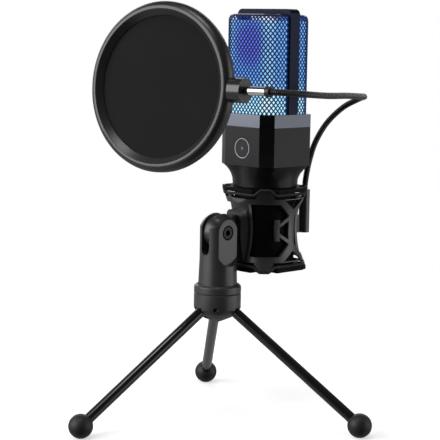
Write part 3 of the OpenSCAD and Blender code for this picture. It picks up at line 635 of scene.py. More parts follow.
def cradle_paint_and_shade():
    """Matte plastic of the cage, with painted shade: dark and dull in the deep corners beside its
    stem, where the post's shadow is painted.
    """
    material = coated(
        "Cradle plastic",
        colours().cradle,
        0.36,
        relief=0.02,
        grain=1300.0,
        specks=0.01,
        specular=0.9,
    )
    tree = material.node_tree
    shader = find(tree, "BSDF_PRINCIPLED")
    bolt = middle("tilt_bolt")
    stem = bolt + (MIC_AXIS - bolt) * STEM_SHARE
    # Mask of the painted shade: full near the stem and below its top, none beyond.
    from_stem = vector_calc(tree, "SUBTRACT", place_of(tree), (stem.x, stem.y, 0))
    away = vector_calc(tree, "LENGTH", vector_calc(tree, "MULTIPLY", from_stem, (1, 1, 0)))
    up = axes_of(tree, from_stem)[2]
    under = step(tree, up, stem.z + SHADE_EDGE, stem.z + SHADE_CORE)
    deep = calc(tree, "MULTIPLY", step(tree, away, SHADE_EDGE, SHADE_CORE), under)
    plain = shader.inputs["Base Color"].links[0].from_socket
    dull = shader.inputs["Roughness"].links[0].from_socket
    # Painted shade: the mask turns the base colour nearly black and makes the surface duller.
    fill(shader, {
        "Base Color": mixed(tree, deep, plain, (0.002, 0.002, 0.002)),
        "Roughness": calc(tree, "MULTIPLY_ADD", deep, 0.55, dull, clamp=True),
    })
    return material


def finish_for(slot):
    """Makes the material of one slot."""
    if slot in OTHER_FINISHES:
        return OTHER_FINISHES[slot]()
    name, colour, roughness, *more = COATS[slot]
    if colour is None:
        colour = COLOUR[slot]
    elif isinstance(colour, str):
        colour = getattr(colours(), colour)
    return coated(name, colour, roughness, **dict(*more))


# Coated finishes: name, colour, roughness and what else differs from coated's own values.
# The colour is the record's where there is none here, or one of MicrophoneColours by its name.
COATS = {
    "hub_plastic": ("Hub plastic", "hub", 0.36, dict(relief=0.015, grain=1500.0, specular=0.7)),
    "post_plastic": ("Post plastic", "post", 0.34, dict(relief=0.015, grain=1500.0, specular=0.7)),
    "leg_steel": ("Leg enamel", None, 0.16, dict(coat=0.6, relief=0.003, stretch=(1, 1, 0.3))),
    "foot_rubber": ("Foot rubber", None, 0.5, dict(relief=0.03, grain=1800.0, specks=0.04)),
    "bolt_black": ("Bolt black", (0.006, 0.006, 0.006), 0.2, dict(grain=900.0, specular=0.2)),
    "steel": ("Black steel", (0.05, 0.05, 0.052), 0.25, dict(metallic=1.0, grain=900.0)),
    # The sleeve's colour holds painted shade: the shade inside the cage, on top of its own dark
    # plastic.
    "sleeve_plastic": ("Sleeve plastic", "sleeve", 0.6, dict(relief=0.03, specular=0.1)),
    "liner_rubber": ("Liner rubber", None, 0.75, dict(relief=0.03)),
    "housing_paint": (
        "Housing metal",
        "housing",
        0.3,
        dict(metallic=0.5, spread=0.12, relief=0.004, grain=2600.0, specular=0.2),
    ),
    "trim_paint": (
        "Trim metal",
        "trim",
        0.24,
        dict(metallic=1.0, spread=0.08, relief=0.002, stretch=(1, 1, 12)),
    ),
    "deck_metal": ("Deck metal", None, 0.4, dict(metallic=1.0)),
    "screw_steel": ("Screw steel", None, 0.25, dict(metallic=1.0, grain=900.0)),
    "cap_plastic": ("Cap plastic", None, 0.35, dict(relief=0.02)),
    "usb_metal": ("Plated shell", None, 0.2, dict(metallic=1.0)),
    "parts_black": ("Component black", None, 0.45, dict(relief=0.02)),
    "saddle_plastic": ("Saddle plastic", None, 0.5),
    "capsule_gold": ("Capsule gold", None, 0.25, dict(metallic=1.0)),
    "rim_paint": ("Black rim paint", "mesh", 0.3, dict(relief=0.004, specular=0.5)),
    "hoop_paint": (
        "Hoop metal",
        "hoop",
        0.4,
        dict(metallic=1.0, spread=0.2, relief=0.004, grain=2600.0),
    ),
    "neck_black": ("Gooseneck black", None, 0.3, dict(relief=0.01)),
    "chrome": ("Ferrule chrome", None, 0.1, dict(metallic=1.0, spread=0.06, relief=0.001)),
    "ring_plastic": (
        "Ring plastic",
        "ring",
        0.34,
        dict(relief=0.01, grain=1500.0, specks=0.02, specular=0.8),
    ),
    "boss_plastic": ("Boss plastic", (0.02, 0.02, 0.021), 0.24, dict(relief=0.006, specular=0.9)),
}


OTHER_FINISHES = {
    "cradle_plastic": cradle_paint_and_shade,
    "elastic": elastic_cord,
    "board": circuit_green,
    "pad_plastic": touch_glass,
    "lens": lambda: lit_plastic("Status lens", (0.3, 0.33, 0.38), 0.15),
    "led_white": lambda: lit_plastic("Light board", (0.7, 0.8, 0.95), 0.6),
    "diffuser": lambda: lit_plastic("Diffuser", (0.2, 0.5, 0.95), 0.8),
    "foam": lit_foam,
    "grille_paint": mesh_paint_and_glow,
    "mesh_fabric": filter_cloth,
}


def finish(slot):
    """The material of a slot, made on its first use."""
    if slot not in FINISHED:
        FINISHED[slot] = finish_for(slot)
    return FINISHED[slot]


FINISHED = {}


# ---- modelling by hand


def select_only(piece):
    """Leaves one object selected and active."""
    bpy.ops.object.select_all(action="DESELECT")
    piece.select_set(True)
    bpy.context.view_layer.objects.active = piece


def select_where(piece, test=lambda part: True, kind="FACE"):
    """Opens a piece for editing, with all faces or the parts that pass a test selected."""
    select_only(piece)
    bpy.ops.object.mode_set(mode="EDIT")
    bpy.ops.mesh.select_mode(type=kind)
    bpy.ops.mesh.select_all(action="DESELECT")
    shape = bmesh.from_edit_mesh(piece.data)
    for part in {"FACE": shape.faces, "EDGE": shape.edges, "VERT": shape.verts}[kind]:
        part.select_set(test(part))
    shape.select_flush_mode()
    bmesh.update_edit_mesh(piece.data)


def join(piece, other):
    """Joins another piece to a piece."""
    select_only(piece)
    other.select_set(True)
    bpy.ops.object.join()


def close_edit():
    bpy.ops.object.mode_set(mode="OBJECT")


def edit(piece, operate, test=lambda part: True, kind="FACE", **settings):
    """Runs one edit on all faces of a piece, or on the parts that pass a test."""
    select_where(piece, test, kind)
    operate(**settings)
    close_edit()


def apply_place():
    """Keeps the place, turn and scale of what is selected in its mesh."""
    bpy.ops.object.transform_apply(location=True, rotation=True, scale=True)


def modify(piece, kind, **settings):
    """Adds a modifier with its settings and applies it."""
    select_only(piece)
    modifier = piece.modifiers.new(kind.title(), kind)
    for name, value in settings.items():
        setattr(modifier, name, value)
    bpy.ops.object.modifier_apply(modifier=modifier.name)


def smooth(piece, angle=35.0):
    """Shades a piece smooth up to a sharp angle, with flat faces kept flat."""
    select_only(piece)
    bpy.ops.object.shade_smooth_by_angle(angle=math.radians(angle))
    modify(piece, "WEIGHTED_NORMAL", keep_sharp=True)


def outward(piece):
    """Welds doubled points and turns all faces outward."""
    select_where(piece)
    bpy.ops.mesh.remove_doubles(threshold=WELD)
    bpy.ops.mesh.normals_make_consistent(inside=False)
    close_edit()


def coat(piece, slot):
    """Gives a piece one finish all over."""
    piece.data.materials.clear()
    piece.data.materials.append(finish(slot))


def settle(piece, name, node):
    """Names a finished piece and lets it stand for a CAD node, on the node's body and slot."""
    select_only(piece)
    apply_place()
    piece.name = name
    piece.data.name = name
    coat(piece, SLOT[node])
    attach(piece, BODY[node])
    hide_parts(node)


def welded_copy(node):
    """A copy of a CAD solid with its loose triangles joined into whole faces."""
    select_only(NODES[node])
    bpy.ops.object.duplicate()
    piece = bpy.context.object
    del piece["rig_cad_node"]
    bpy.ops.mesh.customdata_custom_splitnormals_clear()
    select_where(piece)
    bpy.ops.mesh.remove_doubles(threshold=WELD)
    bpy.ops.mesh.dissolve_limited(angle_limit=math.radians(0.4))
    close_edit()
    return piece


def rounded_copy(node, edge):
    """A copy of a CAD solid with its sharp edges rounded, which stands for it."""
    piece = welded_copy(node)
    if edge:
        modify(
            piece,
            "BEVEL",
            width=edge,
            segments=2,
            limit_method="ANGLE",
            angle_limit=math.radians(30),
            use_clamp_overlap=True,
        )
    smooth(piece)
    settle(piece, node + "_finished", node)
    return piece


def along(unit, points, closed=False):
    """Repeats a short unit that lies along X, and bends the row onto a line of points."""
    bpy.ops.curve.primitive_bezier_curve_add()
    line = bpy.context.object
    line.data.splines.clear()
    spline = line.data.splines.new("POLY")
    spline.points.add(len(points) - 1)
    for knot, point in zip(spline.points, points):
        knot.co = (*point, 1.0)
    spline.use_cyclic_u = closed
    line.data.dimensions = "3D"
    line.data.twist_mode = "MINIMUM"
    modify(
        unit,
        "ARRAY",
        fit_type="FIT_CURVE",
        curve=line,
        relative_offset_displace=(1, 0, 0),
        use_merge_vertices=True,
        merge_threshold=0.01 * MM,
    )
    modify(unit, "CURVE", object=line, deform_axis="POS_X")
    bpy.data.objects.remove(line)
    return unit


def ribbed_unit(radius, pitch, groove, sides):
    """One rib of a flexible tube: a short open cylinder along X, with a groove at each end."""
    bpy.ops.mesh.primitive_cylinder_add(
        vertices=sides,
        radius=radius,
        depth=pitch,
        end_fill_type="NOTHING",
        location=(pitch / 2, 0, 0),
        rotation=(0, math.radians(90), 0),
    )
    unit = bpy.context.object
    apply_place()

    def lengthwise(edge):
        return abs(edge.verts[0].co.x - edge.verts[1].co.x) > pitch / 2

    def in_groove(point):
        return abs(point.co.x - pitch / 2) > 0.4 * pitch

    edit(unit, bpy.ops.mesh.subdivide, lengthwise, "EDGE", number_cuts=3)
    narrow = (radius - groove) / radius
    resize = {"value": (1, narrow, narrow), "center_override": (pitch / 2, 0, 0)}
    edit(unit, bpy.ops.transform.resize, in_groove, "VERT", **resize)
    return unit


def ribbed_line(points, radius, pitch, groove, sides, closed=False):
    """A ribbed tube along a line of points, with a whole number of ribs near the pitch."""
    ends = points[1:] + (points[:1] if closed else [])
    run = sum((b - a).length for a, b in zip(points, ends))
    pitch = run / round(run / pitch)
    return along(ribbed_unit(radius, pitch, groove, sides), points, closed)


def spline_points(knots, steps=10):
    """A smooth curve through all knots but the first and last, which only set its directions."""
    points = []
    for a, b, c, d in zip(knots, knots[1:], knots[2:], knots[3:]):
        for k in range(steps):
            t = k / steps
            square = (2 * a - 5 * b + 4 * c - d) * t * t
            cube = (3 * b - a - 3 * c + d) * t**3
            points.append(0.5 * (2 * b + (c - a) * t + square + cube))
    return points + [knots[-2]]


# ---- pieces of the head


def head_outline(run, inset):
    """A point at an inset from the head's outline, at a run from the front's middle."""
    corner = sizes().corner
    half_x, half_y = HEAD_HALF.x, HEAD_HALF.y
    flat_x, flat_y = half_x - corner, half_y - corner
    side = 1 if run >= 0 else -1
    run = abs(run)
    turn = corner * math.pi / 2
    if run < flat_x:
        point, normal = Vector((run, -half_y, 0)), Vector((0, -1, 0))
    elif run < flat_x + turn:
        angle = (run - flat_x) / corner
        normal = Vector((math.sin(angle), -math.cos(angle), 0))
        point = Vector((flat_x, -flat_y, 0)) + corner * normal
    else:
        point, normal = Vector((half_x, -flat_y + run - flat_x - turn, 0)), Vector((1, 0, 0))
    point.x *= side
    normal.x *= side
    return point - inset * normal + Vector((MIC_AXIS.x, MIC_AXIS.y, 0))


def half_run():
    """Run from the front's middle to the hoop's edge."""
    corner = sizes().corner
    return HEAD_HALF.x - corner + corner * math.pi / 2 + FRONT_HIGH.y - FRONT_LOW.y - corner


def diamond_sheet(across, up):
    """A flat sheet of diamonds in X and Y, whose edges are the strands' middle lines."""
    size = sizes()
    columns = math.ceil(across / size.hole_across)
    rows = math.ceil(up / size.hole_up)
    bpy.ops.mesh.primitive_grid_add(x_subdivisions=columns, y_subdivisions=rows, size=1)
    sheet = bpy.context.object
    sheet.scale = (columns * size.hole_across, rows * size.hole_up, 1)
    apply_place()
    straight = size.hole_across * 1e-3
    edit(sheet, bpy.ops.mesh.poke)

    def grid_line(edge):
        a, b = edge.verts
        inner = len(edge.link_faces) == 2
        level = abs(a.co.x - b.co.x) < straight or abs(a.co.y - b.co.y) < straight
        return inner and level

    edit(sheet, bpy.ops.mesh.dissolve_edges, grid_line, "EDGE", use_verts=False)
    return sheet


def make_strands(sheet):
    """Gives the edges of a flat sheet the thickness of the mesh's strands."""
    strand = sizes().strand
    modify(sheet, "WIREFRAME", thickness=strand, offset=0, use_even_offset=True, use_boundary=True)


class MICROPHONE_OT_head_mesh(bpy.types.Operator):
    """Makes the front and rear mesh of the head, each with a plain rim and a meshed top"""

    bl_idname = "microphone.head_mesh"
    bl_label = "Head mesh"

    def execute(self, context):
        start = rim_start()
        for node, facing in (("front_grille", 1), ("rear_grille", -1)):
            top, wall = top_half(node, facing), wall_half(facing)
            join(wall, top)
            smooth(wall, 50)
            settle(wall, node.replace("grille", "mesh"), node)
            wall.data.materials.append(finish("rim_paint"))
            for face in wall.data.polygons:
                if face.center.z > start:
                    face.material_index = 1
        return {"FINISHED"}


def rim_start():
    """Height where the upright mesh ends and the plain rim starts."""
    size = sizes()
    return GRILLE_TOP - size.top_edge * (1 - math.sin(size.mesh_over))


def wall_half(facing):
    """One half of the head's upright mesh, wrapped round the front or turned about for the rear."""
    size = sizes()
    run = half_run()
    height = GRILLE_TOP - size.top_edge - DECK_Z + size.mesh_over * size.top_edge
    sheet = diamond_sheet(2 * run, height)
    make_strands(sheet)
    keep_inside(sheet, run, height / 2)
    wrap(sheet, height / 2, facing)
    return sheet


def keep_inside(sheet, half_width, half_height):
    """Cuts a flat sheet off at its four sides and closes the cut ends."""
    for axis, reach in ((0, half_width), (1, half_height)):
        for side in (-1, 1):
            point, normal = [0, 0, 0], [0, 0, 0]
            point[axis], normal[axis] = side * reach, side
            plane = {"plane_co": point, "plane_no": normal}
            edit(sheet, bpy.ops.mesh.bisect, use_fill=True, clear_outer=True, **plane)


def wrap(sheet, middle_up, facing):
    """Wraps a flat sheet round the head: X runs round the outline, Y up and over the top edge."""
    size = sizes()
    straight = GRILLE_TOP - size.top_edge - DECK_Z
    for point in sheet.data.vertices:
        run, up, out = point.co
        out -= size.strand / 2
        up += middle_up
        lean = max(0.0, up - straight) / size.top_edge
        back = size.top_edge - (size.top_edge + out) * math.cos(lean)
        place = head_outline(run, back)
        place.z = DECK_Z + min(up, straight) + (size.top_edge + out) * math.sin(lean)
        if facing < 0:
            place.x, place.y = 2 * MIC_AXIS.x - place.x, 2 * MIC_AXIS.y - place.y
        point.co = place
    sheet.data.update()
    outward(sheet)


WINDOW_CLEAR = 0.6  # how much of the top edge's rounding stays outside the opening on top
WINDOW_CORNER = 0.4  # corner radius of the opening, as a share of its depth


def top_half(node, facing):
    """The rim of one half: the CAD solid's top, with an opening that flat mesh fills."""
    size = sizes()
    rim = welded_copy(node)
    plane = {"plane_co": (0, 0, rim_start()), "plane_no": (0, 0, 1)}
    edit(rim, bpy.ops.mesh.bisect, use_fill=True, clear_inner=True, **plane)
    low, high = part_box(node)
    edge = size.top_edge * WINDOW_CLEAR + size.rim
    hoop_side, outer = (high.y, low.y + edge) if facing > 0 else (low.y, high.y - edge)
    centre = Vector((MIC_AXIS.x, (hoop_side - facing * size.rim + outer) / 2, GRILLE_TOP))
    width = high.x - low.x - 2 * edge
    depth = abs(hoop_side - facing * size.rim - outer)
    bpy.ops.mesh.primitive_cube_add(size=1, location=centre)
    window = bpy.context.object
    window.scale = (width, depth, 4 * size.top_edge)
    apply_place()
    upright = dict(limit_method="ANGLE", angle_limit=math.radians(60))
    modify(window, "BEVEL", width=WINDOW_CORNER * depth, segments=5, **upright)
    modify(rim, "BOOLEAN", operation="DIFFERENCE", object=window, solver="EXACT")
    sheet = diamond_sheet(width, depth)
    make_strands(sheet)
    edit(sheet, bpy.ops.transform.translate, value=centre - Vector((0, 0, size.strand)))
    modify(sheet, "BOOLEAN", operation="INTERSECT", object=window, solver="EXACT")
    bpy.data.objects.remove(window)
    sheet.data.materials.clear()
    join(rim, sheet)
    return rim


FOAM_STEP = 0.9 * MM  # size of a face of the foam
FOAM_CELL = 1.6 * MM  # size of a hollow in the foam
FOAM_DEPTH = 0.25 * MM  # depth of a hollow


class MICROPHONE_OT_head_liner(bpy.types.Operator):
    """Makes the soft foam behind the mesh, with the light coming through it"""

    bl_idname = "microphone.head_liner"
    bl_label = "Head liner"

    def execute(self, context):
        liner = welded_copy("foam_liner")
        edit(liner, bpy.ops.mesh.quads_convert_to_tris)
        modify(liner, "REMESH", mode="VOXEL", voxel_size=FOAM_STEP)
        texture = bpy.data.textures.new("Foam cells", "CLOUDS")
        texture.noise_scale = FOAM_CELL
        modify(liner, "DISPLACE", texture=texture, strength=FOAM_DEPTH, mid_level=1.0)
        select_only(liner)
        bpy.ops.object.shade_smooth()
        settle(liner, "foam_liner_cells", "foam_liner")
        return {"FINISHED"}


# ---- pieces of the filter


def filter_frame():
    """The filter's own frame: Z is its front, X points to the gooseneck."""
    size = sizes()
    turn = Matrix.Rotation(size.filter_azimuth, 4, "Z") @ Matrix.Rotation(
        math.radians(90) - size.filter_tilt, 4, "X"
    )
    return Matrix.Translation(FILTER_CENTRE) @ turn


def filter_turn_back():
    """The turn that lays the filter's cloth into X and Y."""
    return filter_frame().to_3x3().inverted().to_euler()


def place_by(piece, matrix):
    """Moves a piece by a matrix and keeps the place in its mesh."""
    select_only(piece)
    piece.matrix_world = matrix @ piece.matrix_world
    apply_place()


CLOTH_THICKNESS = 0.25 * MM
CLOTH_SAG = 0.25 * MM
CLOTH_FORWARD = 1.25 * MM  # from the filter's middle to a cloth's edge
CLOTH_RINGS = (0.08, 0.12, 0.15, 0.2, 0.2)  # widths of its rings of faces, as shares of its radius
SAG_FLAT, SAG_SLOPE = 0.5, 0.4  # radius of the sag's flat middle, and the slope's reach, likewise


class MICROPHONE_OT_filter_cloth(bpy.types.Operator):
    """Makes the filter's two stretched discs of cloth"""

    bl_idname = "microphone.filter_cloth"
    bl_label = "Filter cloth"

    def execute(self, context):
        radius = sizes().cloth_radius
        for node, facing in (("front_fabric", 1), ("rear_fabric", -1)):
            bpy.ops.mesh.primitive_circle_add(vertices=96, radius=radius, fill_type="NGON")
            cloth = bpy.context.object
            select_where(cloth)
            for share in CLOTH_RINGS:
                bpy.ops.mesh.inset(thickness=share * radius)
            close_edit()
            select_where(cloth, lambda point: point.co.length < SAG_FLAT * radius, "VERT")
            bpy.ops.transform.translate(
                value=(0, 0, -CLOTH_SAG),
                use_proportional_edit=True,
                proportional_edit_falloff="SMOOTH",
                proportional_size=SAG_SLOPE * radius,
            )
            close_edit()
            modify(cloth, "SOLIDIFY", thickness=CLOTH_THICKNESS, offset=0)
            modify(cloth, "SUBSURF", levels=1)
            bpy.ops.object.shade_smooth()
            place_by(cloth, Matrix.Translation((0, 0, CLOTH_FORWARD)))
            if facing < 0:
                place_by(cloth, Matrix.Rotation(math.pi, 4, "X"))
            place_by(cloth, filter_frame())
            settle(cloth, node.replace("fabric", "cloth"), node)
        return {"FINISHED"}


NECK_OUT = 1.5 * MM  # where the gooseneck starts, beyond the collar's middle


class MICROPHONE_OT_gooseneck(bpy.types.Operator):
    """Makes the ribbed gooseneck from the filter round to the clip"""

    bl_idname = "microphone.gooseneck"
    bl_label = "Gooseneck"

    def execute(self, context):
        size = sizes()
        direction = filter_frame().to_3x3() @ Vector((1, 0, 0))
        first = middle("neck_collar") + NECK_OUT * direction
        last = Vector((*middle("neck_end_pin").xy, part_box("gooseneck")[0].z))
        lead_in = first - 12 * MM * direction
        lead_out = last - Vector((0, 0, 9 * MM))
        route = [MM * Vector(point) for point in NECK_ROUTE]
        points = spline_points([lead_in, first, *route, last, lead_out])
        neck = ribbed_line(points, size.neck_radius, size.rib_pitch, size.rib_depth, sides=14)
        edit(neck, bpy.ops.mesh.edge_face_add, lambda edge: edge.is_boundary, "EDGE")
        outward(neck)
        smooth(neck, 60)
        settle(neck, "gooseneck_ribs", "gooseneck")
        return {"FINISHED"}


BAND_RADIUS = 0.95 * MM
BAND_GROOVE = 0.1 * MM
BAND_FACE = 24.2 * MM  # from the upright axis to a straight side of a band
BAND_BEND = 28  # degrees from a bar's middle to the end of the straight side
CLIMB_START, CLIMB = 30, 8.5  # degrees from a bar's middle to the rise, and over the rise


class MICROPHONE_OT_bands(bpy.types.Operator):
    """Makes the two elastic bands that hold the sleeve in the cage"""

    bl_idname = "microphone.bands"
    bl_label = "Elastic bands"

    def execute(self, context):
        pitch = sizes().band_pitch
        for node, side in (("elastic_band_upper", 1), ("elastic_band_lower", -1)):
            near, far = [corner.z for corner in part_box(node)][::side]
            near += side * BAND_RADIUS
            far -= side * BAND_RADIUS
            points = [band_point(math.radians(angle), near, far) for angle in range(0, 360, 3)]
            band = ribbed_line(points, BAND_RADIUS, pitch, BAND_GROOVE, sides=10, closed=True)
            outward(band)
            smooth(band, 60)
            settle(band, node + "_cord", node)
            band.parent = None
            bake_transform(band)
        return {"FINISHED"}


def band_point(angle, near, far):
    """Middle line of a band: straight under the bars, then over the cage's corners."""
    from_bar = abs((math.degrees(angle) + 45) % 90 - 45)
    rise = min(max((from_bar - CLIMB_START) / CLIMB, 0), 1)
    reach = BAND_FACE / math.cos(math.radians(min(from_bar, BAND_BEND)))
    return Vector(
        (
            MIC_AXIS.x + reach * math.cos(angle),
            MIC_AXIS.y + reach * math.sin(angle),
            near + rise * (far - near),
        )
    )


# Middle line of the gooseneck from the filter to the clip, in millimetres.
NECK_ROUTE = (
    (92, -37, 216.8),
    (93.8, -22, 215.8),
    (85.2, 7.2, 214),
    (74, 36, 213),
    (60, 64, 211.5),
    (44, 89, 210),
    (26, 105, 207.5),
    (11, 106, 201),
    (3.5, 98.5, 190.5),
    (2, 89, 178),
    (4, 81, 166),
    (7.5, 74, 155),
)


# ---- small lights

LINE_INSET = 0.35 * MM  # from the touch pad's edge to the line's middle
LINE_PROUD = 0.02 * MM  # how far the line's middle stands before the pad


class MICROPHONE_OT_touch_line(bpy.types.Operator):
    """Makes the thin line of light round the touch pad"""

    bl_idname = "microphone.touch_line"
    bl_label = "Touch line"

    def execute(self, context):
        low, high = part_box("touch_pad")
        centre = (low + high) / 2
        bpy.ops.mesh.primitive_torus_add(
            major_radius=(high.x - low.x) / 2 - LINE_INSET,
            minor_radius=sizes().touch_line / 2,
            major_segments=96,
            minor_segments=10,
            location=(centre.x, low.y - LINE_PROUD, centre.z),
            rotation=(math.radians(90), 0, 0),
        )
        line = bpy.context.object
        apply_place()
        bpy.ops.object.shade_smooth()
        line.name = "touch_line"
        line.data.materials.append(lit_plastic("Touch line", (0.75, 0.8, 0.85), 0.35))
        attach(line, "microphone")
        return {"FINISHED"}


# ---- moulded and machined pieces

# Rounding of each piece's edges in millimetres, where 0 leaves them sharp.
ROUNDED = {
    "tripod_hub": 0.5,
    "hub_collar": 0.4,
    "leg_1": 0.4,
    "leg_2": 0.4,
    "leg_3": 0.4,
    "tilt_post": 0.5,
    "tilt_bolt": 0.2,
    "tilt_nut": 0.2,
    "outer_cage": 0.35,
    "filter_clip": 0.3,
    "clip_screws": 0.15,
    "inner_sleeve": 0.35,
    "lower_housing": 0.3,
    "trim_band": 0.15,
    "base_cap": 0.3,
    "head_hoop": 0.4,
    "neck_collar": 0.25,
    "ferrule": 0.15,
    "filter_boss": 0.5,
    "front_ring": 0.25,
    "rear_ring": 0.25,
    "touch_pad": 0.1,
    "foot_1": 0,
    "foot_2": 0,
    "foot_3": 0,
    "shaft_tube": 0,
}


class MICROPHONE_OT_rounded(bpy.types.Operator):
    """Rounds the edges of the moulded, cast and machined pieces"""

    bl_idname = "microphone.rounded"
    bl_label = "Rounded pieces"

    def execute(self, context):
        for node, edge in ROUNDED.items():
            piece = rounded_copy(node, edge * MM)
            if node == "tilt_bolt":
                coat(piece, "bolt_black")
        return {"FINISHED"}


class MICROPHONE_OT_hidden_parts(bpy.types.Operator):
    """Gives the CAD solids that stay their finishes"""

    bl_idname = "microphone.hidden_parts"
    bl_label = "Inner pieces"

    def execute(self, context):
        for node, piece in NODES.items():
            if not piece.hide_render:
                coat(piece, SLOT[node])
        return {"FINISHED"}


# ---- studio

AIM_Z = 0.17  # height that the lamps point at
FLOOR_FADE = (0.18, 0.7)  # from the middle to where the floor starts to whiten and is white
DARK_CARD = (-56, 0.15, 1.5, 1.1, 1.6)  # as a lamp's place, then its width and height
# Lamps: name, bearing in degrees, rise and distance in metres, width and height, watts.
LAMPS = (
    ("Left softbox", -113, 0.35, 1.1, (1.3, 1.0), 12.5),
    ("Right softbox", 41, 0.15, 1.1, (0.85, 1.1), 3.5),
    ("Right strip", 12, 0.1, 1.2, (0.16, 1.0), 0.9),
    ("Back softbox", 140, 0.4, 1.2, (1.8, 0.9), 7.0),
    ("Top softbox", -75, 1.3, 0.5, (0.5, 0.5), 3.5),
)


def area_lamp(name, place, aim, size, power):
    """A soft lamp that points at a place. Its size is its width and height."""
    bpy.ops.object.light_add(type="AREA", location=place)
    lamp = bpy.context.object
    lamp.name = name
    lamp.data.shape = "RECTANGLE"
    lamp.data.size, lamp.data.size_y = size
    lamp.data.energy = power * bpy.context.scene.microphone_studio.lamps
    lamp.rotation_euler = (aim - place).to_track_quat("-Z", "Y").to_euler()


def standing(aim, bearing, rise, distance):
    """A place that stands off an aim: bearing in degrees from X, rise and distance in metres."""
    angle = math.radians(bearing)
    return aim + Vector((distance * math.cos(angle), distance * math.sin(angle), rise))


def stage_floor():
    """A pale floor that keeps the shadow near the object and ends in plain white for the camera."""
    bpy.ops.mesh.primitive_plane_add(size=8)
    floor = bpy.context.object
    floor.name = "floor"
    floor.visible_glossy = False
    floor.visible_diffuse = False
    material, tree, shader = blank("Pale floor")
    place = place_of(tree)
    seen = add(tree, "ShaderNodeLightPath").outputs["Is Camera Ray"]
    fill(shader, {
        "Base Color": mixed(tree, noise(tree, place, 3.0), (0.9, 0.9, 0.9), (0.92, 0.92, 0.92)),
        "Roughness": 0.9,
        "Specular IOR Level": 0.0,
        "Emission Color": WHITE,
        "Emission Strength": calc(tree, "MULTIPLY", seen, 0.5),
    })
    away = vector_calc(tree, "LENGTH", place)
    far = calc(tree, "MULTIPLY", step(tree, away, *FLOOR_FADE), seen)
    white = add(tree, "ShaderNodeEmission", {"Color": WHITE, "Strength": 1.0})
    both = mixed_shaders(tree, far, shader.outputs[0], white.outputs[0])
    fill(find(tree, "OUTPUT_MATERIAL"), {"Surface": both})
    floor.data.materials.append(material)


def dark_card(name, place, aim, width, height):
    """An unlit card that only reflections show, which keeps a gloss face black."""
    bpy.ops.mesh.primitive_plane_add(size=1, location=place)
    card = bpy.context.object
    card.name = name
    card.scale = (width, height, 1)
    card.rotation_euler = (aim - place).to_track_quat("Z", "Y").to_euler()
    apply_place()
    card.data.materials.append(coated(name.replace("_", " "), (0.01, 0.01, 0.01), 0.9))
    card.visible_camera = False
    card.visible_shadow = False
    card.visible_diffuse = False


def white_surround():
    """White for the camera, dim as light, and in reflections pale below and dark behind the eye."""
    world = bpy.data.worlds.new("White studio")
    world.use_nodes = True
    bpy.context.scene.world = world
    tree = world.node_tree
    tree.nodes.clear()
    heading = bpy.context.scene.microphone_studio.heading
    camera_way = (math.sin(heading), -math.cos(heading), 0.0)
    way = add(tree, "ShaderNodeTexCoord").outputs["Generated"]
    up = axes_of(tree, way)[2]
    level = vector_calc(tree, "NORMALIZE", vector_calc(tree, "MULTIPLY", way, (1, 1, 0)))
    beside = step(tree, vector_calc(tree, "DOT_PRODUCT", level, camera_way), 0.85, 0.5)
    sky = calc(tree, "MULTIPLY_ADD", step(tree, up, 0.2, -0.15), 0.25, 0.06)
    mirrored = calc(tree, "MULTIPLY_ADD", sky, beside, 0.015)
    diffuse = calc(tree, "MULTIPLY_ADD", step(tree, up, -0.3, 0.5), 0.1, 0.02)
    glows = [
        add(tree, "ShaderNodeBackground", {"Color": WHITE, "Strength": strength}).outputs[0]
        for strength in (diffuse, mirrored, 1.0)
    ]
    path = add(tree, "ShaderNodeLightPath").outputs
    seen = calc(tree, "MAXIMUM", path["Is Camera Ray"], path["Is Transmission Ray"])
    soft = mixed_shaders(tree, path["Is Glossy Ray"], *glows[:2])
    add(tree, "ShaderNodeOutputWorld", {"Surface": mixed_shaders(tree, seen, soft, glows[2])})


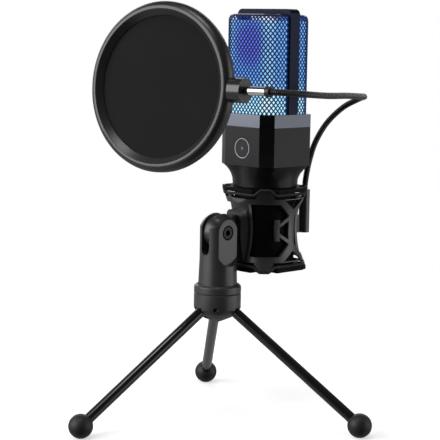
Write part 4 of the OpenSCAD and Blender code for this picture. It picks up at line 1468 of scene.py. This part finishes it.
class MICROPHONE_OT_studio(bpy.types.Operator):
    """Makes the floor, the dark card, the lamps, the white surround and the camera"""

    bl_idname = "microphone.studio"
    bl_label = "Studio"

    def execute(self, context):
        studio = context.scene.microphone_studio
        stage_floor()
        aim = Vector((MIC_AXIS.x, MIC_AXIS.y, AIM_Z))
        bearing, rise, distance, width, height = DARK_CARD
        dark_card("dark_card", standing(aim, bearing, rise, distance), aim, width, height)
        for name, bearing, rise, distance, size, power in LAMPS:
            area_lamp(name, standing(aim, bearing, rise, distance), aim, size, power)
        white_surround()
        context.scene.view_settings.view_transform = "Standard"

        bpy.ops.object.camera_add(location=studio.eye)
        camera = bpy.context.object
        turn = (
            Matrix.Rotation(studio.heading, 4, "Z")
            @ Matrix.Rotation(math.radians(90) - studio.pitch, 4, "X")
            @ Matrix.Rotation(studio.roll, 4, "Z")
        )
        camera.rotation_euler = turn.to_euler()
        camera.data.lens = studio.lens
        camera.data.sensor_width = 36.0
        context.scene.camera = camera
        return {"FINISHED"}


class MICROPHONE_PT_build(bpy.types.Panel):
    """Lists the settings and the steps that make the microphone"""

    bl_idname = "MICROPHONE_PT_build"
    bl_label = "Desk microphone"
    bl_space_type = "VIEW_3D"
    bl_region_type = "UI"
    bl_category = "Microphone"

    def draw(self, context):
        for settings, kind in SETTINGS.items():
            box = self.layout.box()
            for name in kind.__annotations__:
                box.prop(getattr(context.scene, settings), name)
        for operator in OPERATORS:
            self.layout.operator(operator.bl_idname)


OPERATORS = (
    MICROPHONE_OT_rounded,
    MICROPHONE_OT_head_mesh,
    MICROPHONE_OT_head_liner,
    MICROPHONE_OT_touch_line,
    MICROPHONE_OT_filter_cloth,
    MICROPHONE_OT_gooseneck,
    MICROPHONE_OT_bands,
    MICROPHONE_OT_hidden_parts,
    MICROPHONE_OT_studio,
)
SETTINGS = {
    "microphone_sizes": MicrophoneSizes,
    "microphone_colours": MicrophoneColours,
    "microphone_studio": MicrophoneStudio,
}
CLASSES = (*SETTINGS.values(), *OPERATORS, MICROPHONE_PT_build)


def register():
    for kind in CLASSES:
        bpy.utils.register_class(kind)
    for name, kind in SETTINGS.items():
        setattr(bpy.types.Scene, name, PointerProperty(type=kind))


def unregister():
    for name in SETTINGS:
        delattr(bpy.types.Scene, name)
    for kind in reversed(CLASSES):
        bpy.utils.unregister_class(kind)


def main():
    register()
    for operator in OPERATORS:
        group, name = operator.bl_idname.split(".")
        getattr(getattr(bpy.ops, group), name)()


if __name__ == "__main__":
    main()
